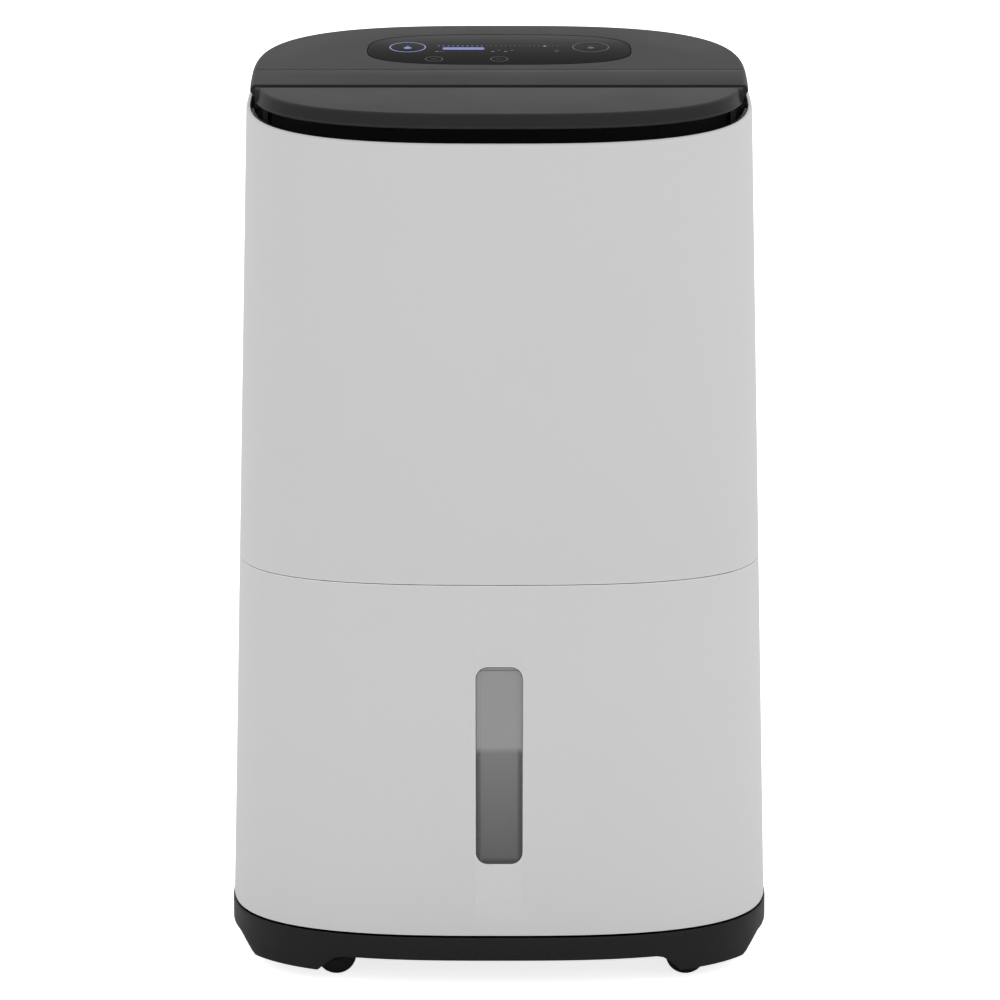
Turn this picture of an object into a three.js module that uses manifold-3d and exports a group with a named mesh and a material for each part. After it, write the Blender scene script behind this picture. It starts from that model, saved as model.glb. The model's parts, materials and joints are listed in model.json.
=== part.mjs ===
// A free-standing compressor dehumidifier: a tapered white casing on a dark base with castors,
// a dark sloping top with a touch panel, a pull-up handle and a powered air outlet flap,
// and a water tank that pulls out of the front. Millimetres, +Z up, front at -Y.
import * as THREE from 'three';
import { mergeVertices } from 'three/addons/utils/BufferGeometryUtils.js';
import Module from 'manifold-3d';

const wasm = await Module();
wasm.setup();

// ---------- Driving dimensions ----------
const BODY = { halfWidth: 169.1, halfDepth: 122.07, widthDraft: 0.0256, depthDraft: 0.0142, roundness: 2.87 };
const WALL = 2.6;
const GAP = 0.8;
const OUTLINE_POINTS = 40;

const BASE = { halfWidth: 169, halfDepth: 122.5, low: 7.5, underside: 17.8, floor: 20.4, top: 32.3 };
const TANK = { low: 33.1, top: 252.5, bucketLow: 34.4, bucketTop: 236, back: 4 };
const CASING = { low: 253.3, split: 12 };
const RIM = { height: 535.4, slope: Math.tan(8.04 * Math.PI / 180) };
const LID = { height: 550, tilt: 10 * Math.PI / 180 };
LID.slope = Math.tan(LID.tilt);

const WINDOW = { width: 28.6, low: 78.9, high: 202.1, corner: 7 };
const PANEL = { halfWidth: 82.5, halfDepth: 35, centre: 55.3, roundness: 3.1, thick: 2.4 };
const HANDLE = { front: -25.3, back: 8.9, thick: 9, legIn: 141.5, legOut: 146.5, legLow: 440, guideLow: 487.4, guideTop: 508 };
const FLAP = { axisY: -33.8, barrel: 6.5, halfWidth: 148.2, halfDepth: 107.6, slope: Math.tan(6.1 * Math.PI / 180), skirt: 8.3, plate: 2.8, earRadius: 3.4, earIn: 141, earOut: 144 };
FLAP.axisZ = LID.height + LID.slope * FLAP.axisY - FLAP.barrel + 0.6;

const CASTOR = { pivotX: 108.3, pivotY: 83, trail: 7.3, wheelRadius: 12.5, wheelSides: 20, discIn: 3.8, discOut: 9, plate: 13, stem: 3 };
CASTOR.axle = CASTOR.wheelRadius * Math.cos(Math.PI / CASTOR.wheelSides);
const POCKET = { radius: 22.4, ceiling: 28.5, wall: 2.6, boss: 7, bossTop: 34, bore: 3.4 };

const GRILLE = { halfWidth: 104.4, low: 275.6, high: 499.4, thick: 2.2 };
const COIL = { halfWidth: 98, low: 262, high: 488 };
const FAN = { z: 394, radius: 76, front: -78, back: -28, hub: 22 };
const SCROLL = { front: -84, back: -22, wall: 2.4, top: 506, radius: 92 };
const DUCT = { floor: 490, outer: 2.9, inner: 5.5, back: -25.4, bezel: 14 };
const FAR = 400;

// ---------- Materials ----------
const plastic = (color, roughness) => new THREE.MeshStandardMaterial({ color, roughness, metalness: 0 });
const metal = (color, roughness) => new THREE.MeshStandardMaterial({ color, roughness, metalness: 1 });
const white = plastic(0xd6d6d6, 0.45);
const darkGrey = plastic(0x545454, 0.55);
const black = plastic(0x242424, 0.6);
const panelBlack = plastic(0x303030, 0.15);
const smoke = new THREE.MeshStandardMaterial({ color: 0x8a8a8a, roughness: 0.2, transparent: true, opacity: 0.6 });
const tankGrey = new THREE.MeshStandardMaterial({ color: 0xb8bcc0, roughness: 0.35, transparent: true, opacity: 0.7 });
const frameGrey = plastic(0x8d9092, 0.6);
const rubber = plastic(0x1c1c1c, 0.9);
const steel = metal(0x9a9da0, 0.35);
const aluminium = metal(0xc8ccd0, 0.4);
const copper = metal(0xb87048, 0.35);
const board = plastic(0x1f5a38, 0.5);
const painted = plastic(0x1e1e1e, 0.35);
const foam = plastic(0x3c3f42, 0.95);

// ---------- Solids ----------
// A closed three.js geometry as a manifold-3d solid.
function solidOf(geometry) {
  const bare = geometry.index ? geometry.toNonIndexed() : geometry.clone();
  bare.deleteAttribute('normal');
  bare.deleteAttribute('uv');
  const merged = mergeVertices(bare, 1e-3);
  return new wasm.Manifold(new wasm.Mesh({
    numProp: 3,
    vertProperties: merged.attributes.position.array,
    triVerts: new Uint32Array(merged.index.array),
  }));
}

// The geometry of a solid, for a mesh.
function geometryOf(solid) {
  const made = solid.getMesh();
  const positions = new Float32Array(made.numVert * 3);
  for (let i = 0; i < made.numVert; i++) {
    positions.set(made.vertProperties.subarray(i * made.numProp, i * made.numProp + 3), i * 3);
  }
  const indexed = new THREE.BufferGeometry()
    .setAttribute('position', new THREE.BufferAttribute(positions, 3))
    .setIndex(new THREE.BufferAttribute(made.triVerts, 1));
  const flat = indexed.toNonIndexed();
  flat.computeVertexNormals();
  return flat;
}

function box(x0, x1, y0, y1, z0, z1) {
  const geometry = new THREE.BoxGeometry(x1 - x0, y1 - y0, z1 - z0);
  geometry.translate((x0 + x1) / 2, (y0 + y1) / 2, (z0 + z1) / 2);
  return solidOf(geometry);
}

// A round bar between two heights, along Z.
function post(x, y, radius, z0, z1, sides = 24) {
  const geometry = new THREE.CylinderGeometry(radius, radius, z1 - z0, sides);
  geometry.rotateX(Math.PI / 2);
  geometry.translate(x, y, (z0 + z1) / 2);
  return solidOf(geometry);
}

// A round bar between two depths, along Y.
function barAlongY(x, z, radius, y0, y1, sides = 24) {
  const geometry = new THREE.CylinderGeometry(radius, radius, y1 - y0, sides);
  geometry.translate(x, (y0 + y1) / 2, z);
  return solidOf(geometry);
}

// A round bar between two sideways places, along X.
function barAlongX(y, z, radius, x0, x1, sides = 20) {
  const geometry = new THREE.CylinderGeometry(radius, radius, x1 - x0, sides);
  geometry.rotateZ(Math.PI / 2);
  geometry.translate((x0 + x1) / 2, y, z);
  return solidOf(geometry);
}

// A flat outline pushed along Y: shape coordinates are X and Z.
function plateAlongY(shape, y0, y1) {
  const geometry = new THREE.ExtrudeGeometry(shape, { depth: y1 - y0, bevelEnabled: false, curveSegments: 4 });
  geometry.rotateX(Math.PI / 2);
  geometry.translate(0, y1, 0);
  return solidOf(geometry);
}

// A flat outline pushed along X: shape coordinates are Y and Z.
function plateAlongX(shape, x0, x1) {
  const geometry = new THREE.ExtrudeGeometry(shape, { depth: x1 - x0, bevelEnabled: false, curveSegments: 4 });
  geometry.rotateX(Math.PI / 2);
  geometry.rotateZ(Math.PI / 2);
  geometry.translate(x0, 0, 0);
  return solidOf(geometry);
}

// A solid of revolution about Z from [radius, z] pairs.
function turned(profile, sides = 24) {
  const points = profile.map(([r, z]) => new THREE.Vector2(r, z));
  const geometry = new THREE.LatheGeometry([...points, points[0]], sides);
  geometry.rotateX(Math.PI / 2);
  const solid = solidOf(geometry);
  return solid.volume() < 0 ? solidOf(new THREE.LatheGeometry([...points, points[0]].reverse(), sides).rotateX(Math.PI / 2)) : solid;
}

function tube(points, radius, steps, sides = 8) {
  const section = new THREE.Shape().absarc(0, 0, radius, 0, 2 * Math.PI, false);
  const path = new THREE.CatmullRomCurve3(points.map((p) => new THREE.Vector3(...p)));
  return solidOf(new THREE.ExtrudeGeometry(section, { steps, extrudePath: path, curveSegments: sides }));
}

// One point of a rounded oval (a superellipse), with t from 0 to 1 round it.
function ovalPoint(halfWidth, halfDepth, roundness, t) {
  const angle = 2 * Math.PI * t;
  const bend = (v) => Math.sign(v) * Math.abs(v) ** (2 / roundness);
  return [halfWidth * bend(Math.cos(angle)), halfDepth * bend(Math.sin(angle))];
}

// A closed solid through rings that have the same number of points, lowest ring first.
function loft(rings) {
  const count = rings[0].length;
  const positions = rings.flat().flatMap((p) => [...p]);
  const index = [];
  for (let r = 0; r + 1 < rings.length; r++) {
    for (let i = 0; i < count; i++) {
      const a = r * count + i;
      const b = r * count + (i + 1) % count;
      index.push(a, b, b + count, a, b + count, a + count);
    }
  }
  const last = (rings.length - 1) * count;
  for (let i = 1; i + 1 < count; i++) {
    index.push(0, i + 1, i, last, last + i, last + i + 1);
  }
  const geometry = new THREE.BufferGeometry()
    .setAttribute('position', new THREE.Float32BufferAttribute(positions, 3))
    .setIndex(index);
  return solidOf(geometry);
}

// A ring on a surface z = height(y).
function ring(halfWidth, halfDepth, roundness, height, count = OUTLINE_POINTS) {
  return Array.from({ length: count }, (_, i) => {
    const [x, y] = ovalPoint(halfWidth, halfDepth, roundness, i / count);
    return [x, y, height(y)];
  });
}

const bodyHalfWidth = (z) => BODY.halfWidth - BODY.widthDraft * z;
const bodyHalfDepth = (z) => BODY.halfDepth - BODY.depthDraft * z;
const rimHeight = (y) => RIM.height + RIM.slope * y;
const lidHeight = (y) => LID.height + LID.slope * y;
const bodyRing = (z, inset) =>
  ring(bodyHalfWidth(z) - inset, bodyHalfDepth(z) - inset, BODY.roundness, () => z);

// The tapered body between two heights, taken in by an inset.
const bodyBlock = (z0, z1, inset = 0) => loft([bodyRing(z0, inset), bodyRing(z1, inset)]);

// Everything under a sloping surface z = height(y).
const under = (height) => {
  const side = new THREE.Shape([
    new THREE.Vector2(-FAR, -FAR), new THREE.Vector2(FAR, -FAR),
    new THREE.Vector2(FAR, height(FAR)), new THREE.Vector2(-FAR, height(-FAR)),
  ]);
  return plateAlongX(side, -FAR, FAR);
};
const slab = (y0, y1, z0 = -FAR, z1 = 2 * FAR) => box(-FAR, FAR, y0, y1, z0, z1);
const below = (height, drop) => under((y) => height(y) - drop);

// A bar with rounded corners, drawn round the origin.
function roundedRectangle(width, height, radius) {
  const x = width / 2;
  const y = height / 2;
  const shape = new THREE.Shape();
  shape.absarc(x - radius, y - radius, radius, 0, Math.PI / 2);
  shape.absarc(radius - x, y - radius, radius, Math.PI / 2, Math.PI);
  shape.absarc(radius - x, radius - y, radius, Math.PI, 1.5 * Math.PI);
  shape.absarc(x - radius, radius - y, radius, 1.5 * Math.PI, 2 * Math.PI);
  return shape;
}

// The two ends of a stretch on the left (-1) or right (1) side, lowest first.
const sidesOf = (side, near, far) => [side * near, side * far].sort((a, b) => a - b);

const machine = new THREE.Group();

function add(name, solid, material, parent = machine) {
  const mesh = new THREE.Mesh(geometryOf(solid), material);
  mesh.name = name;
  parent.add(mesh);
  return mesh;
}

// ---------- Base tray ----------
// The lower edge is low at the four corners, to hide the castors, and arched between them.
function archBetweenCorners(level, slopeStart, slopeEnd) {
  const points = [[-slopeEnd, BASE.low - 6]];
  for (const side of [-1, 1]) {
    for (let i = 0; i <= 3; i++) {
      const t = side < 0 ? i / 3 : 1 - i / 3;
      const ease = t * t * (3 - 2 * t);
      points.push([side * (slopeEnd + (slopeStart - slopeEnd) * t), BASE.low - 1 + (level - BASE.low + 1) * ease]);
    }
  }
  points.push([slopeEnd, BASE.low - 6]);
  return new THREE.Shape(points.map(([x, z]) => new THREE.Vector2(x, z)).reverse());
}

function baseTray() {
  const edge = (z, inset) => ring(BASE.halfWidth - inset, BASE.halfDepth - inset, BODY.roundness, () => z);
  const outer = loft([edge(BASE.low, 0), edge(BASE.top - 1, 0), edge(BASE.top, 1)]);
  let tray = outer
    .subtract(plateAlongY(archBetweenCorners(BASE.underside, 95, 113), -FAR, FAR))
    .subtract(plateAlongX(archBetweenCorners(BASE.underside, 60, 82), -FAR, FAR))
    .subtract(bodyBlock(0, BASE.underside, WALL))
    .subtract(bodyBlock(BASE.floor, BASE.top + 1, WALL));
  for (const x of [-CASTOR.pivotX, CASTOR.pivotX]) {
    for (const y of [-CASTOR.pivotY, CASTOR.pivotY]) {
      tray = tray
        .add(post(x, y, POCKET.radius + POCKET.wall, BASE.underside, POCKET.ceiling + POCKET.wall, 20).intersect(outer))
        .add(post(x, y, POCKET.boss, POCKET.ceiling, POCKET.bossTop, 16))
        .subtract(post(x, y, POCKET.radius, 0, POCKET.ceiling, 20))
        .subtract(post(x, y, POCKET.bore, 0, FAR, 12));
    }
  }
  return tray;
}
add('base_tray', baseTray(), black);

// ---------- Castors ----------
function castorFork() {
  const hubClear = 2.9;
  const halfThick = CASTOR.discIn - 0.5;
  const neck = new THREE.Shape([
    new THREE.Vector2(-7, 26), new THREE.Vector2(-4, 12), new THREE.Vector2(CASTOR.trail - 6, 5.5),
    new THREE.Vector2(CASTOR.trail + 5, 5.5), new THREE.Vector2(CASTOR.trail + 9, 14), new THREE.Vector2(11, 26),
  ]);
  return plateAlongY(neck, -halfThick, halfThick)
    .add(post(0, 0, CASTOR.plate, 25.5, 27.6, 16))
    .add(post(0, 0, CASTOR.stem, 27, 33.2, 10))
    .subtract(barAlongY(CASTOR.trail, CASTOR.axle, hubClear, -FAR, FAR, 12));
}

// Two discs joined by their axle, turned as one piece about Y.
function castorWheel() {
  const { wheelRadius: r, discIn, discOut } = CASTOR;
  const profile = [
    [0, -discOut], [r, -discOut], [r, -discIn], [2.4, -discIn], [2.4, discIn], [r, discIn], [r, discOut], [0, discOut],
  ];
  return turned(profile, CASTOR.wheelSides)
    .rotate([0, 0, 180 / CASTOR.wheelSides])
    .rotate([90, 0, 0]);
}

const corners = { front_left: [-1, -1], front_right: [1, -1], rear_left: [-1, 1], rear_right: [1, 1] };
for (const [corner, [sideX, sideY]] of Object.entries(corners)) {
  const castor = new THREE.Group();
  castor.position.set(sideX * CASTOR.pivotX, sideY * CASTOR.pivotY, 0);
  add(`castor_fork_${corner}`, castorFork(), black, castor);
  const wheel = add(`castor_wheel_${corner}`, castorWheel(), rubber, castor);
  wheel.position.set(CASTOR.trail, 0, CASTOR.axle);
  machine.add(castor);
}

// ---------- Casings ----------
const bodyShell = (z0, z1) => bodyBlock(z0, z1).subtract(bodyBlock(z0 - 1, z1 + 1, WALL));
const upTo = (solid, height, drop = 0) => solid.intersect(below(height, drop));

add('front_casing', upTo(bodyShell(CASING.low, 600), rimHeight).intersect(slab(-FAR, CASING.split)), white);

function rearCasing() {
  const opening = box(-GRILLE.halfWidth - 0.5, GRILLE.halfWidth + 0.5, 40, FAR, GRILLE.low - 0.5, GRILLE.high + 0.5);
  let casing = upTo(bodyShell(TANK.low, 600), rimHeight)
    .intersect(slab(CASING.split + GAP / 2, FAR))
    .subtract(opening)
    .subtract(barAlongY(CORD_GLAND.x, CORD_GLAND.z, 7.6, 60, FAR))
    .subtract(barAlongY(DRAIN.x, DRAIN.z, 8.6, 60, FAR));
  for (const side of [-1, 1]) {
    casing = casing.subtract(box(...sidesOf(side, 130, FAR), 0, FINGER_GAP.back, FINGER_GAP.low, FINGER_GAP.high));
  }
  for (const [x, z] of SCREWS) {
    casing = casing.subtract(barAlongY(x, z, 2.1, 40, FAR, 12));
  }
  return casing;
}
const CORD_GLAND = { x: 96, z: 62 };
const DRAIN = { x: -62, z: 236 };
const SCREWS = [[-84, 56], [40, 56], [-112, 262], [112, 262]];
const FINGER_GAP = { back: 25, low: 118, high: 188 };
add('rear_casing', rearCasing(), white);

// The wall of the body at a sideways place and a height, on the rear side.
function rearSurface(x, z) {
  const across = Math.min(1, Math.abs(x) / bodyHalfWidth(z));
  return bodyHalfDepth(z) * (1 - across ** BODY.roundness) ** (1 / BODY.roundness);
}

function panScrew() {
  return turned([[0, -9], [1.6, -9], [1.6, 0], [3.6, 0], [3.6, 1.2], [2.6, 2.2], [0, 2.2]], 8).rotate([-90, 0, 0]);
}
SCREWS.forEach(([x, z], i) => {
  const screw = add(`casing_screw_${i + 1}`, panScrew(), steel);
  screw.position.set(x, rearSurface(Math.abs(x) - 3.6, z) + 0.2, z);
});

// ---------- Intake grille and filter ----------
const grilleSlice = (inset, thick, margin) => bodyBlock(GRILLE.low + margin, GRILLE.high - margin, inset)
  .subtract(bodyBlock(GRILLE.low - 1, GRILLE.high + 1, inset + thick))
  .intersect(box(-GRILLE.halfWidth + margin, GRILLE.halfWidth - margin, 40, FAR, 0, 600));

// The two rows of openings, above and below a middle rail, that start a margin inside the edge.
const rowsBetween = (margin) => [[GRILLE.low + margin, 384], [391, GRILLE.high - margin]];

function intakeGrille() {
  const columns = 11;
  const pitch = 17.4;
  const halfSlot = 5.8;
  let grille = grilleSlice(0, GRILLE.thick, 0);
  for (let i = 0; i < columns; i++) {
    const x = (i - (columns - 1) / 2) * pitch;
    for (const [low, high] of rowsBetween(14)) {
      grille = grille.subtract(box(x - halfSlot, x + halfSlot, 40, FAR, low, high));
    }
  }
  return grille;
}
add('intake_grille', intakeGrille(), white);

function filterFrame() {
  let frame = grilleSlice(GRILLE.thick + 0.8, 3.6, 1.5);
  for (const x of [-66, 0, 66]) {
    for (const [low, high] of rowsBetween(9)) {
      frame = frame.subtract(box(x - 29, x + 29, 40, FAR, low, high));
    }
  }
  return frame;
}
add('filter_frame', filterFrame(), darkGrey);
add('filter_mesh', grilleSlice(GRILLE.thick + 4.8, 0.8, 4), foam);

// ---------- Water tank ----------
function tankWindowShape(grow) {
  return roundedRectangle(WINDOW.width + 2 * grow, WINDOW.high - WINDOW.low + 2 * grow, WINDOW.corner + grow);
}
const windowHeight = (WINDOW.low + WINDOW.high) / 2;
const windowCut = (grow, y0, y1) => plateAlongY(tankWindowShape(grow), y0, y1).translate([0, 0, windowHeight]);

add('tank_cover', bodyShell(TANK.low, TANK.top)
  .intersect(slab(-FAR, CASING.split))
  .subtract(windowCut(0, -FAR, 0)), white);

add('tank_window', bodyBlock(TANK.low, TANK.top, 0.8)
  .subtract(bodyBlock(TANK.low - 1, TANK.top + 1, 2.8))
  .intersect(windowCut(-0.35, -FAR, 0)), smoke);

const BUCKET_INSET = WALL + 0.4 + 0.4;
function tankBucket() {
  const wall = 2.2;
  const inside = bodyBlock(TANK.bucketLow + 2.5, TANK.bucketTop + 1, BUCKET_INSET + wall).intersect(slab(-FAR, TANK.back - wall));
  return bodyBlock(TANK.bucketLow, TANK.bucketTop, BUCKET_INSET).intersect(slab(-FAR, TANK.back)).subtract(inside);
}
add('tank_bucket', tankBucket(), tankGrey);

const INLET = { y: -20, radius: 15 };
const STRAP = { halfWidth: 124, front: -78, back: -8, band: 11, low: TANK.bucketTop + 3.4, thick: 5, axisY: -10 };
STRAP.axisZ = STRAP.low + STRAP.thick / 2;
const FLOAT = { x: 78, axisY: -14, axisZ: 222, armEnd: -66 };
function tankLid() {
  const lid = bodyBlock(TANK.bucketTop + 0.4, TANK.bucketTop + 3, BUCKET_INSET).intersect(slab(-FAR, TANK.back));
  const spout = box(-FAR, -118, -FAR, -54, 0, 300);
  const ears = box(FLOAT.x - 12, FLOAT.x - 9, FLOAT.axisY - 5, FLOAT.axisY + 5, FLOAT.axisZ - 5, TANK.bucketTop + 1)
    .add(box(FLOAT.x + 9, FLOAT.x + 12, FLOAT.axisY - 5, FLOAT.axisY + 5, FLOAT.axisZ - 5, TANK.bucketTop + 1))
    .subtract(barAlongX(FLOAT.axisY, FLOAT.axisZ, 2.3, FLOAT.x - 20, FLOAT.x + 20, 12));
  let whole = lid
    .subtract(post(0, INLET.y, INLET.radius, 200, 260))
    .subtract(spout)
    .add(ears);
  for (const side of [-1, 1]) {
    const [near, far] = sidesOf(side, STRAP.halfWidth + 0.6, STRAP.halfWidth + 3.6);
    whole = whole
      .add(box(near, far, STRAP.axisY - 4, STRAP.axisY + 4, TANK.bucketTop + 1, STRAP.axisZ + 4))
      .subtract(barAlongX(STRAP.axisY, STRAP.axisZ, 2, near - 1, far + 1, 12));
  }
  return whole;
}
add('tank_lid', tankLid(), frameGrey);

// The float hangs from the tank lid on its own pin and shuts the machine off when it lifts.
function tankFloat() {
  return barAlongX(FLOAT.axisY, FLOAT.axisZ, 1.9, FLOAT.x - 11.6, FLOAT.x + 11.6, 12)
    .add(barAlongX(FLOAT.axisY, FLOAT.axisZ, 4, FLOAT.x - 8, FLOAT.x + 8, 12))
    .add(box(FLOAT.x - 4, FLOAT.x + 4, FLOAT.armEnd, FLOAT.axisY, FLOAT.axisZ - 8, FLOAT.axisZ - 2))
    .add(box(FLOAT.x - 16, FLOAT.x + 16, FLOAT.armEnd - 24, FLOAT.armEnd + 8, FLOAT.axisZ - 30, FLOAT.axisZ - 6));
}
add('tank_float', tankFloat(), foam);

// The tank's own carrying strap lies folded forwards on the lid, on two stub pins.
function tankStrap() {
  const { halfWidth, front, back, band, low, thick, axisY, axisZ } = STRAP;
  const stubPin = (side) => barAlongX(axisY, axisZ, 1.6, ...sidesOf(side, halfWidth - 2, halfWidth + 3.4), 12);
  return box(-halfWidth, halfWidth, front, back, low, low + thick)
    .subtract(box(-halfWidth + band, halfWidth - band, front + band, FAR, 0, FAR))
    .add(stubPin(-1))
    .add(stubPin(1));
}
add('tank_strap', tankStrap(), darkGrey);

// ---------- Chassis frame ----------
// A bulkhead behind the tank and a deck over it carry the machinery.
const NOZZLE = { y: INLET.y, radius: 6 };
function chassisFrame() {
  const inside = bodyBlock(BASE.floor + 0.4, 258.4, WALL + 0.6);
  const bulkhead = box(-138, 138, 14.4, 17, BASE.floor + 0.4, 256);
  const deck = slab(-FAR, FAR, 255.8, 258.4)
    .subtract(box(-121, -106.5, 54, 74, 200, 300))
    .subtract(box(106.5, 121, 62, 84, 200, 300));
  return bulkhead.add(deck).intersect(inside).subtract(post(0, NOZZLE.y, NOZZLE.radius + 3, 200, 300));
}
add('chassis_frame', chassisFrame(), frameGrey);

// ---------- Refrigeration ----------
const PAN = { low: 259, top: 279, back: 99, front: 40, halfWidth: 106 };
function drainPan() {
  const channel = box(-13, 13, NOZZLE.y - 10, PAN.front + 2, PAN.low, PAN.low + 12);
  return box(-PAN.halfWidth, PAN.halfWidth, PAN.front, PAN.back, PAN.low, PAN.top)
    .intersect(bodyBlock(200, 300, WALL + GRILLE.thick + 5))
    .add(channel)
    .subtract(box(-PAN.halfWidth + 2.4, PAN.halfWidth - 2.4, PAN.front + 2.4, PAN.back - 8, PAN.low + 2.4, PAN.top + 1))
    .subtract(box(-10.6, 10.6, NOZZLE.y - 7.6, PAN.front + 6, PAN.low + 2.4, PAN.low + 13))
    .add(post(0, NOZZLE.y, NOZZLE.radius, 247, PAN.low + 1, 16))
    .subtract(post(0, NOZZLE.y, NOZZLE.radius - 1.8, 240, PAN.low + 4, 16));
}
add('drain_pan', drainPan(), frameGrey);

// A finned block with end plates and the return bends that stand out of them.
function coil(front, back, z0) {
  const fins = 8;
  const pitch = (2 * COIL.halfWidth - 12) / fins;
  let block = box(-COIL.halfWidth, COIL.halfWidth, front, back, z0, COIL.high);
  for (let i = 0; i < fins; i++) {
    const x = -COIL.halfWidth + 6 + (i + 0.25) * pitch;
    block = block
      .subtract(box(x, x + pitch / 2, back - 6, back + 1, z0 + 4, COIL.high - 4))
      .subtract(box(x, x + pitch / 2, front - 1, front + 6, z0 + 4, COIL.high - 4));
  }
  const middle = (front + back) / 2;
  for (let i = 0; i < 3; i++) {
    const z = z0 + 26 + i * 75;
    for (const side of [-1, 1]) {
      const root = side * (COIL.halfWidth - 2);
      const tip = side * (COIL.halfWidth + 12);
      const bend = tube([[root, middle, z], [tip - side * 2, middle, z + 2], [tip, middle, z + 11], [tip - side * 2, middle, z + 20], [root, middle, z + 22]], 3.2, 5, 3);
      block = block.add(bend);
    }
  }
  return block;
}
add('evaporator', coil(70, 90, COIL.low), aluminium);
add('condenser', coil(44, 64, COIL.low), aluminium);

const COMPRESSOR = { x: -44, y: 67, radius: 44, low: 36, top: 206 };
function compressor() {
  const { radius: r, low, top } = COMPRESSOR;
  const can = turned([[0, low], [r - 8, low], [r, low + 8], [r, top - 22], [r - 6, top - 8], [r - 20, top - 1], [0, top]], 22);
  const feet = turned([[0, low - 3], [r + 1, low - 3], [r + 1, low + 1], [0, low + 1]], 16);
  return can.add(feet).translate([COMPRESSOR.x, COMPRESSOR.y, 0]);
}
add('compressor', compressor(), painted);

for (let i = 0; i < 3; i++) {
  const angle = Math.PI / 2 + i * 2 * Math.PI / 3;
  const foot = turned([[0, 0], [8, 0], [6.5, 5], [8, 12], [0, 12]], 12);
  add(`compressor_foot_${i + 1}`, foot.translate([
    COMPRESSOR.x + 34 * Math.cos(angle), COMPRESSOR.y + 34 * Math.sin(angle), BASE.floor + 0.3,
  ]), rubber);
}

const ACCUMULATOR = { x: 22, y: 70 };
add('accumulator', turned([[0, 66], [8, 66], [15, 74], [15, 158], [8, 168], [0, 168]], 20)
  .translate([ACCUMULATOR.x, ACCUMULATOR.y, 0]), painted);

// The two copper pipes, as the points their middle lines run through.
const { x: cx, y: cy } = COMPRESSOR;
add('discharge_pipe', tube([
  [cx, cy, 206.6], [cx, cy, 228], [cx - 16, cy, 242], [-92, 66, 243], [-112, 64, 250],
  [-115, 63, 270], [-115, 63, 304], [-110, 57, 320], [-99.4, 55, 323],
], 3, 20, 3), copper);
add('suction_pipe', tube([
  [ACCUMULATOR.x, ACCUMULATOR.y, 168.6], [ACCUMULATOR.x, ACCUMULATOR.y, 220], [42, 73, 242], [88, 75, 243], [110, 72, 249],
  [114, 71, 270], [114, 70, 304], [110, 77, 320], [99.6, 79, 323],
], 3.4, 20, 3), copper);

// ---------- Fan ----------
// A scroll housing: round about the fan and open upwards into the outlet duct.
function scrollShape(grow) {
  const r = SCROLL.radius + grow;
  const shape = new THREE.Shape();
  shape.moveTo(r, SCROLL.top - FAN.z + 60);
  shape.lineTo(-r, SCROLL.top - FAN.z + 60);
  shape.lineTo(-r, 0);
  shape.absarc(0, 0, r, Math.PI, 2 * Math.PI, false);
  return shape;
}
function fanScroll() {
  const at = (solid) => solid.translate([0, 0, FAN.z]);
  const outer = at(plateAlongY(scrollShape(SCROLL.wall), SCROLL.front, SCROLL.back));
  const inner = at(plateAlongY(scrollShape(0), SCROLL.front + SCROLL.wall, SCROLL.back - SCROLL.wall));
  return outer.subtract(inner)
    .intersect(slab(-FAR, FAR, 0, DUCT.floor - 0.5))
    .subtract(barAlongY(0, FAN.z, FAN.radius - 14, SCROLL.back - 5, SCROLL.back + 5, 32))
    .subtract(barAlongY(0, FAN.z, 8, SCROLL.front - 5, SCROLL.front + 5, 16));
}
add('fan_scroll', fanScroll(), frameGrey);

// A drum impeller: a back plate, a front ring and curved blades between them.
function fanWheel() {
  const blades = 14;
  const lean = 24; // degrees
  const leanShift = 4; // brings a leaning blade back out to the rim
  const { radius: r, front, back, hub } = FAN;
  let wheel = barAlongY(0, 0, r, front, front + 2.4, 28)
    .add(barAlongY(0, 0, r, back - 3, back, 28).subtract(barAlongY(0, 0, r - 13, back - 10, back + 10, 28)))
    .add(barAlongY(0, 0, hub, front, front + 16, 16))
    .subtract(barAlongY(0, 0, 3.3, front - 5, front + 12, 12));
  for (let i = 0; i < blades; i++) {
    const blade = box(r - 12, r - 0.8, front + 1, back - 1, -1, 1).rotate([0, lean, 0]).translate([leanShift, 0, 0])
      .rotate([0, i * 360 / blades, 0]);
    wheel = wheel.add(blade.intersect(barAlongY(0, 0, r, front, back, 28)));
  }
  return wheel.rotate([0, 4, 0]);
}
const wheelMesh = add('fan_wheel', fanWheel(), black);
wheelMesh.position.set(0, 0, FAN.z);

function fanMotor() {
  const can = barAlongY(0, FAN.z, 34, -109, SCROLL.front - 0.4, 28);
  const shaft = barAlongY(0, FAN.z, 2.9, SCROLL.front - 1, FAN.front + 11, 12);
  return can.intersect(bodyBlock(200, 600, WALL + 0.8)).add(shaft);
}
add('fan_motor', fanMotor(), steel);

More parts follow.
